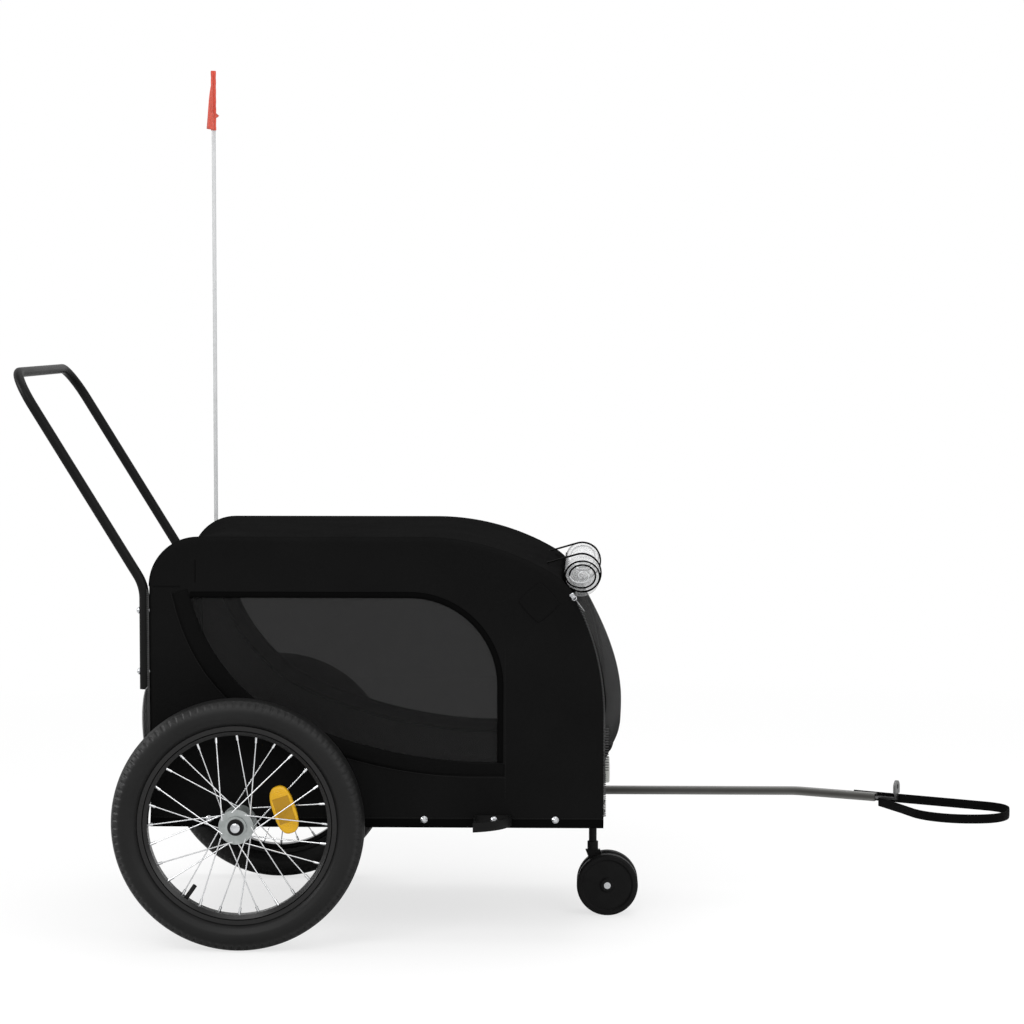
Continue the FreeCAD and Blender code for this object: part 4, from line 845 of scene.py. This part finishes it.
vinyl = Paint("clear_vinyl", 0.4, roughness=0.16)
haze = vinyl.noise(28, 4)
crease = vinyl.noise(90, 5)
vinyl.feed(
    base_color=vinyl.mix(haze, shade(222, 224, 226), grey(250)),
    alpha=0.2 + haze * 0.3 + crease * 0.2,
    normal=vinyl.bump(haze + crease * 0.5, 0.003, 0.5),
)
turn = np.linspace(0, 4, 360)
angle = np.radians(250) - 2 * np.pi * turn
radius = np.interp(
    turn, [0, 0.5, 1, 1.2, 2, 2.2, 3.2, 3.4, 4], [4, 9, 12.5, 20.6, 21.4, 27.4, 28.2, 29.6, 29.9]
)
squeeze = np.interp(turn, [0, 3.2, 3.5, 4], [0.86, 0.88, 0.97, 1])
middle = np.stack([np.interp(turn, [3, 3.5], ends) for ends in ([1.0, -0.4], [1.2, -1.0])], -1)
spiral = ROLL + middle + radius[:, None] * np.stack([np.cos(angle), squeeze * np.sin(angle)], -1)
ROLL_HALF = 205.6
over = np.linspace(-ROLL_HALF, ROLL_HALF, 60)
crinkle = ripple(turn[:, None] * 90, over[None, :] + 0 * turn[:, None], 91, 14) * 0.6
spots = upright(spiral[:, None] + crinkle[..., None], over)
roll = surface("rain_cover_vinyl", spots, inside=upright(ROLL, 0.0))
fit(roll, vinyl.material, "frame", "clear_sheet", "rain_cover_roll")
cut_vinyl = mottled(
    "cut_vinyl_edge", shade(168, 170, 172), shade(246, 247, 248), (160, 3), 0.3, (0.3, 0)
)
hem_start, hem_stop = np.searchsorted(turn, [1.2, 3.25])
for side, sign in SIDES:
    line = upright(spiral[hem_start:hem_stop], sign * (ROLL_HALF - 0.2))
    hem = tube(f"rain_cover_hem_{side}", line, (0, 1, 0), circle(1.0, 8) * (1.35, 3.0))
    fit(hem, tape_and_rim_shade_cloth, "frame", "cover_cloth")
    line = upright(spiral[:hem_start], sign * (ROLL_HALF - 2.2))
    cut_edge = tube(f"rain_cover_edge_{side}", line, (0, 1, 0), circle(0.9, 6))
    fit(cut_edge, cut_vinyl, "frame", "clear_sheet")


def webbing(name, low, high, pitch):
    """Flat woven webbing: ribs across it and a fine zigzag of threads, from the texture map."""
    paint = Paint(name, 0.02, roughness=0.72)
    along, around, _ = paint.place("UV")
    ribs = (along * pitch).sine()
    twill = (along * pitch * 0.5 + around * pitch * 0.8).sine()
    drift = paint.noise(30, 3)
    return paint.feed(
        base_color=paint.mix(drift * 0.7 + ribs * 0.15 + 0.1, low, high),
        normal=paint.bump(ribs + twill * 0.6, 0.0004, 0.7),
    )


tie_webbing = webbing("tie_webbing", grey(8), grey(16), 2600)
for side, sign in SIDES:
    loop = np.concatenate([[(482.9, 597.6)], arc(ROLL, 31.2, 105.6, -96, 70)])
    line = even(upright(loop, sign * 125.0), 90)
    tie = tube(f"rain_cover_tie_{side}", line, (0, 1, 0), oblong(2.6, 12, 6, 20))
    fit(tie, tie_webbing, "frame", "webbing")
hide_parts("rain_cover_ties")


# ---- Push handle ----
# One bent steel tube in the same black coat, with pushed-in plastic plugs and two bolts on each
# leg through the rear of the hoops.

moulded = mottled(
    "black_moulding", grey(13), grey(21), (12, 2), 0.08, (0.42, 0.16), (0.0002, 0.5), 1400
)
dress(black_coat, "handle_tube")
dress(moulded, "handle_plugs", "flag_holder", "reflector_base")


# ---- Tow arm, tongue and safety strap ----
# A square tube in grey powder coat, bolted under the crossbars on the left side and bent in at
# the front, where a plated tongue with an eye stands in its end. A loop of black webbing beside
# it is the safety strap.

grey_coat = Paint("grey_powder_coat", 0.15)
_, _, level = grey_coat.place()
# The tube's side is lighter towards its top and bottom edges: painted highlight on the rounded
# corners.
painted_sheen = ((level - 0.1850) * 190).size() ** 2.0
patchy = grey_coat.noise(11, 3)
pebble = grey_coat.noise(900, 1)
grey_coat.feed(
    base_color=grey_coat.mix(painted_sheen * 0.75 + patchy * 0.25, shade(46, 45, 42), shade(104, 104, 102)),
    roughness=0.36 + patchy * 0.16,
    normal=grey_coat.bump(pebble, 0.0002, 0.5),
)
dress(grey_coat.material, "tow_arm")
dress(bright_metal("dull_zinc", grey(66), grey(118), 0.3, 150), "coupling_tongue")


def smooth(points, count):
    """A curve through points: cubic pieces whose slope at each point is that of its neighbours."""
    points = np.asarray(points, float)
    knots = lengths(points)
    slope = np.gradient(points, knots, axis=0)
    steps = np.linspace(0, knots[-1], count)
    piece = np.clip(np.searchsorted(knots, steps, "right") - 1, 0, len(knots) - 2)
    span = (knots[piece + 1] - knots[piece])[:, None]
    part = ((steps - knots[piece])[:, None]) / span
    start, stop = points[piece], points[piece + 1]
    enter, leave = slope[piece] * span, slope[piece + 1] * span
    return (
        start * (2 * part ** 3 - 3 * part ** 2 + 1) + enter * (part ** 3 - 2 * part ** 2 + part)
        + stop * (3 * part ** 2 - 2 * part ** 3) + leave * (part ** 3 - part ** 2)
    )


STRAP_ROUTE = [
    (1002.5, 105), (1021, 95.7), (1042, 85.5), (1076, 69.5), (1114, 52.2), (1151, 35.3),
    (1188, 18), (1207, 9), (1225, -1), (1238.5, -16), (1244.5, -35), (1243, -55),
    (1237.5, -75), (1227, -93), (1212, -106), (1193, -113), (1173, -115), (1152, -113),
    (1133, -106.5), (1116, -96), (1101, -81.5), (1090, -64.5), (1081, -41), (1071, -12),
    (1061, 14), (1051, 40), (1045, 56), (1041, 66),
]
strap_black = webbing("strap_webbing", grey(6), grey(13), 2200)
route = smooth(STRAP_ROUTE, 260)
past_tip = ramp(np.linspace(0, 1, 260), 0.42, 0.58)
ARM_END, ARM_LEVEL = 1037, 184.5
fall = ARM_LEVEL - 0.0175 * (route[:, 0] - ARM_END) - 6.0 * past_tip ** 0.8
line = np.column_stack([route, fall])
strap = tube("safety_strap_webbing", line, (0, 0, 1), oblong(2.4, 15, 6, 20))
fit(strap, strap_black, "frame", "webbing", "safety_strap")


# ---- Wheels ----
# Black rubber tyres with a plain wall and fine notches along the shoulders, on satin black rims.
# Spokes, hub shell and flanges are plated steel, and the stub axle has a domed push button.

AXLE_HEIGHT = 200.0
WHEEL_MIDDLE = 320.0
rubber = Paint("tyre_rubber", 0.15)
dust = rubber.noise(14, 4)
grain = rubber.noise(700, 1)
_, way_round, _ = rubber.place("UV")
outer_shoulder = (way_round - 0.0198).size()
inner_shoulder = (way_round - 0.1247).size()
# Both shoulders are lighter in patches: painted sheen, for the light the shoulders catch.
painted_sheen = (1 - outer_shoulder.low(inner_shoulder) * 190).high(0.0) * rubber.noise(30, 3)
rubber.feed(
    base_color=rubber.mix(dust * 0.35 + painted_sheen * 0.9, grey(12), grey(36)),
    roughness=0.4 + dust * 0.14,
    normal=rubber.bump(grain, 0.0002, 0.4),
)
TYRE_RING, TYRE_SECTION, NOTCHES = 177, 22.9, 100
turn, around = full_turn(1080)[:, None], full_turn(56)[None, :]
tread = np.abs((around + np.pi) % (2 * np.pi) - np.pi)
shoulder = np.exp(-((tread - 0.86) / 0.2) ** 2)
notch = np.clip(np.sin(turn * NOTCHES) * 3 - 1, 0, 1)
crown_grooves = np.exp(-((tread - 0.34) / 0.07) ** 2) + np.exp(-(tread / 0.05) ** 2)
bead = np.exp(-((tread - 2.05) / 0.09) ** 2)
section = TYRE_SECTION - 1.7 * shoulder * notch - 0.8 * crown_grooves - 0.7 * bead
ring_radius = TYRE_RING + section * np.cos(around)
for side, sign in SIDES:
    spots = np.stack([
        ring_radius * np.cos(turn),
        sign * WHEEL_MIDDLE + section * np.sin(around) + 0 * turn,
        AXLE_HEIGHT + ring_radius * np.sin(turn),
    ], -1)
    wheel_core = np.array([0.0, sign * WHEEL_MIDDLE, AXLE_HEIGHT])
    texture = np.stack(np.broadcast_arrays(turn * 0.177, around * 0.023), -1)
    tyre = surface(f"tyre_{side}_tread", spots[:, ::-1], (True, True), texture, wheel_core)
    fit(tyre, rubber.material, f"{side}_wheel", "tyre_rubber", f"tyre_{side}")

tube_rubber = mottled("tube_rubber", grey(16), grey(30), (40, 3), 0.12, (0.6, 0))
dress(tube_rubber, "inner_tube_right", "inner_tube_left", "hub_bearings_right", "hub_bearings_left")
satin_black = mottled(
    "satin_black_rim", grey(10), shade(18, 17, 17), (9, 3), 0.26, (0.2, 0.12), (0.0001, 0.4), 1500
)
dress(satin_black, "rim_right", "rim_left")
# A thin black ring on each face of the rim, where its flat face turns into its cone: painted shade
# along that fold.
SHADE_RING_RADIUS, SHADE_RING_REACH = 149, 13.6
for side, sign in SIDES:
    for face in (-SHADE_RING_REACH, SHADE_RING_REACH):
        name = f"rim_groove_{side}_{'in' if face * sign < 0 else 'out'}"
        line = upright(circle(SHADE_RING_RADIUS, 240) + (0, AXLE_HEIGHT), sign * WHEEL_MIDDLE + face)
        shade_ring = tube(name, line, (0, 1, 0), circle(0.8, 8), True)
        fit(shade_ring, tape_and_rim_shade_cloth, f"{side}_wheel", "black_plastic")
spoke_steel = bright_metal("spoke_steel", shade(190, 191, 193), shade(228, 229, 230), 0.18, 35)
dress(spoke_steel, "spokes_right", "spokes_left")
hub_zinc = bright_metal("hub_zinc", shade(118, 122, 121), shade(168, 172, 171), 0.3, 70)
dress(hub_zinc, "hub_right", "hub_left")
dress(moulded, "axle_right", "axle_left")
dress(zinc, "axle_button_right", "axle_button_left")


# ---- Spoke reflectors ----
# Amber moulded lenses clipped between the spokes: a flat window in the middle, ribbed ends and a
# bevelled rim, with a clip bar behind.

def lens_plastic(name, low, high, window):
    """Clear coloured plastic over rows of small pyramids that throw the light back.

    The flat window in the middle, given by half its sides in metres, looks deeper than the rim.
    """
    paint = Paint(name, 0.25, roughness=0.16)
    over, up, _ = paint.place("UV")
    prisms = paint.weave(2400)
    deep = (1 - over.size().above(window[0])) * (1 - up.size().above(window[1]))
    cloud = paint.noise(26, 3)
    return paint.feed(
        base_color=paint.mix(0.75 - deep * 0.6 + cloud * 0.25 + prisms * 0.12, low, high),
        normal=paint.bump(prisms, 0.0003, 0.5),
    )


def lens_face(name, middle, along, across, out, size, thickness, power):
    """A lens: rings from the middle to the outline, then back under it.

    The height is a sunk flat window in the middle, ribs across both ends and a bevelled rim.
    """
    rim = oblong(*size, power, 96)
    steps = np.append(np.linspace(0.03, 0.86, 26), [0.9, 0.95, 0.985, 1.0, 1.0, 0.97, 0.03])
    flat = rim[:, None] * steps[None, :, None]
    window = (np.abs(flat[..., 0]) < size[0] * 0.27) & (np.abs(flat[..., 1]) < size[1] * 0.36)
    ribs = np.where(np.abs(flat[..., 0]) > size[0] * 0.29, 0.35 * np.sin(flat[..., 0] * 1.9), 0)
    bevel = np.interp(steps, [0, 0.84, 0.9, 0.95, 0.985, 1], [0, 0, 0.1, 0.5, 1.2, 2.4])
    rise = thickness / 2 - bevel + np.where(steps < 0.84, ribs + np.where(window, -0.7, 0), 0)
    rise[:, -3:] = -thickness / 2
    spots = middle + np.dstack([flat, rise]) @ np.array([along, across, out], float)
    return surface(name, spots, (True, False), flat / 1000, inside=middle, sharp=35, capped=True)


amber = lens_plastic("amber_lens", shade(138, 100, 12), shade(206, 158, 24), (0.0208, 0.013))
LENS_RADIUS, LENS_SIZE, LENS_DEPTH = 77, (77, 36), 9
tilt = math.radians(18)
radial = np.array([math.cos(tilt), 0, math.sin(tilt)])
tangent = np.array([-math.sin(tilt), 0, math.cos(tilt)])
for side, sign in SIDES:
    face = np.array([0.0, sign, 0.0])
    middle = np.array([0, sign * WHEEL_MIDDLE, AXLE_HEIGHT]) + LENS_RADIUS * radial
    lens = lens_face(
        f"spoke_lens_{side}", middle, tangent, radial, face, LENS_SIZE, LENS_DEPTH, 2.7
    )
    fit(lens, amber, f"{side}_wheel", "amber_lens", f"wheel_reflector_{side}")
    clip_spot = middle - face * 8.2
    clip = plate(f"spoke_lens_clip_{side}", clip_spot, tangent, face, 62, 8, 7.6, 0.0, 8.0)
    fit(clip, amber, f"{side}_wheel", "amber_lens")


# ---- Caster ----
# A plated post in the front crossbar carries a black steel fork that swivels, with two hard
# plastic discs on one pin.

disc_plastic = mottled(
    "caster_plastic", grey(13), grey(26), (45, 5), 0.06, (0.4, 0.25), (0.0004, 0.3)
)
dress(disc_plastic, "caster_wheel_right", "caster_wheel_left")
dress(black_coat, "caster_fork", "caster_post")
dress(zinc, "caster_axle")


# ---- Flag and pole ----
# A white fibreglass rod in a plastic holder, with a red nylon pennant whose sleeve is pulled over
# the top of the rod.

fibreglass = mottled(
    "fibreglass_white", shade(178, 179, 180), shade(200, 201, 202), (60, 3), 0.3, (0.35, 0),
    (0.0003, 0.3),
)
dress(fibreglass, "flag_pole")

POLE_X, POLE_Y, POLE_TOP = -106.0, 277.0, 1425.0
flag_nylon = Paint("red_nylon", 0.2, roughness=0.55)
threads = flag_nylon.weave(5600)
fade = flag_nylon.noise(26, 3)
flag_nylon.feed(
    base_color=flag_nylon.mix(fade + threads * 0.15, shade(188, 62, 46), shade(220, 100, 82)),
    normal=flag_nylon.bump(threads, 0.0002, 0.5),
)
SLEEVE, FLAG_REACH, TAIL_REACH = 4.5, 74, 52
FLAG_DROP, SLEEVE_DROP, FLAG_LEVEL = 103.4, 103.0, 1370
drop = np.linspace(0, 1, 60)[:, None]
reach_left = SLEEVE + FLAG_REACH * drop
tail = np.interp(drop, [0, 0.6, 0.71, 0.74, 0.86, 1], [0, 0, 1, 0.92, 0, 0])
reach_right = SLEEVE + TAIL_REACH * tail
side_share = np.linspace(0, 1, 34)[None, :]
width = -reach_left + (reach_left + reach_right) * side_share
wave = 5.5 * np.sin(width * 0.075 + drop * 2.2) * drop * ramp(np.abs(width), 0, 26) ** 1.5
wave = wave + ramp(width, SLEEVE, TAIL_REACH) ** 1.3 * 4.5
spots = np.stack([
    POLE_X + wave,
    POLE_Y + width * (1 - 0.02 * drop),
    POLE_TOP - 0.4 - FLAG_DROP * drop + 0 * width,
], -1)
pennant = surface("pennant", spots, inside=np.array([POLE_X - 500, POLE_Y, FLAG_LEVEL]))
fit(wall(pennant, 0.7, 0.0), flag_nylon.material, "flag", "flag_red", "flag")
sleeve_turn = full_turn(24)[None, :]
sleeve_drop = np.linspace(0, 1, 50)[:, None]
sleeve_radius = SLEEVE + 0.2 * np.sin(sleeve_drop * 40 + sleeve_turn * 2)
spots = np.stack([
    POLE_X + sleeve_radius * np.cos(sleeve_turn),
    POLE_Y + sleeve_radius * np.sin(sleeve_turn),
    POLE_TOP - 0.5 - SLEEVE_DROP * sleeve_drop + 0 * sleeve_turn,
], -1)
pole_core = np.array([POLE_X, POLE_Y, FLAG_LEVEL])
sleeve = surface("pennant_sleeve", spots, (False, True), inside=pole_core)
fit(wall(sleeve, 0.7), flag_nylon.material, "flag", "flag_red")


# ---- Front reflector ----
# A clear moulded lens with a sunk window and ribbed ends, in a black moulded base riveted to the
# middle of the front lower panel.

clear_lens = lens_plastic("clear_lens", shade(136, 138, 135), shade(176, 178, 173), (0.0216, 0.013))
low, high = (np.array(corner) * 1000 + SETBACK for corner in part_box("front_reflector"))
front_lens = lens_face(
    "front_lens", (low + high) / 2, (0, 1, 0), (0, 0, 1), (1, 0, 0), (80, 36), high[0] - low[0], 9
)
fit(front_lens, clear_lens, "frame", "white_lens", "front_reflector")


# ---- Stage: floor, light and camera ----
# A pale floor that ends in the white of the room, broad soft lamps, and a long lens square to the
# trailer's right side.

floor_mesh = bpy.data.meshes.new("floor")
floor_mesh.from_pydata([(-40, -40, 0), (40, -40, 0), (40, 40, 0), (-40, 40, 0)], [], [(0, 1, 2, 3)])
floor = bpy.data.objects.new("floor", floor_mesh)
bpy.context.scene.collection.objects.link(floor)
floor_paint = Paint("pale_floor", 0.1, roughness=0.9, base_color=grey(242))
seen = floor_paint.node("ShaderNodeLightPath", output="Is Camera Ray")
glow = floor_paint.node("ShaderNodeEmission", None, {"Color": (1, 1, 1, 1), "Strength": 1.0})
lit = Wire(floor_paint, floor_paint.shader.outputs[0])
over, up, _ = floor_paint.place()
far = (over * over + up * up) * 0.09
whiter = 0.7 + far.low(1.0) * 0.3
blend = floor_paint.node("ShaderNodeMixShader", None, {0: seen * whiter, 1: lit, 2: glow})
floor_paint.join(blend, floor_paint.tree.nodes["Material Output"].inputs["Surface"])
floor_mesh.materials.append(floor_paint.material)

# The room is white where it is seen or mirrored, and dimmer where it only lights.
world = bpy.data.worlds.new("room")
world.use_nodes = True
room = Nodes(world.node_tree)
seen, mirrored, passed = (
    room.node("ShaderNodeLightPath", output=f"Is {kind} Ray")
    for kind in ("Camera", "Glossy", "Transmission")
)
levels = {"Value": seen.high(mirrored.high(passed)), "To Min": 0.66, "To Max": 1.0}
background = world.node_tree.nodes["Background"].inputs
room.join((1, 1, 1, 1), background["Color"])
room.join(room.node("ShaderNodeMapRange", None, levels), background["Strength"])
bpy.context.scene.world = world

for name, place, aim, size, power in (
    ("key_lamp", (-1.6, -4.4, 4.2), (0, 0, 0.5), 3.2, 150),
    ("fill_lamp", (2.8, -3.6, 2.6), (0, 0, 0.5), 3.0, 68),
    ("top_lamp", (0.2, 0.6, 4.6), (0, 0, 0.4), 3.4, 85),
    ("side_lamp", (-4.4, -0.6, 2.0), (-0.4, 0, 0.4), 1.5, 120),
):
    lamp = bpy.data.lights.new(name, "AREA")
    lamp.size = size
    lamp.energy = power
    light = bpy.data.objects.new(name, lamp)
    light.location = place
    way = np.array(aim) - np.array(place)
    pitch, heading = math.atan2(np.hypot(way[0], way[1]), -way[2]), math.atan2(-way[0], way[1])
    light.rotation_euler = (pitch, 0, heading)
    # The side lamp shows only as a streak on polished pieces.
    light.visible_diffuse = name != "side_lamp"
    bpy.context.scene.collection.objects.link(light)

lens = bpy.data.cameras.new("long_lens")
lens.lens = 105.08
lens.sensor_width = 36
camera = bpy.data.objects.new("camera", lens)
camera.location = (0.1130, -4.9599, 0.9858)
camera.rotation_euler = (math.radians(86.3819), 0, math.radians(1.4948))
bpy.context.scene.collection.objects.link(camera)
bpy.context.scene.camera = camera
bpy.context.scene.view_settings.view_transform = "Standard"
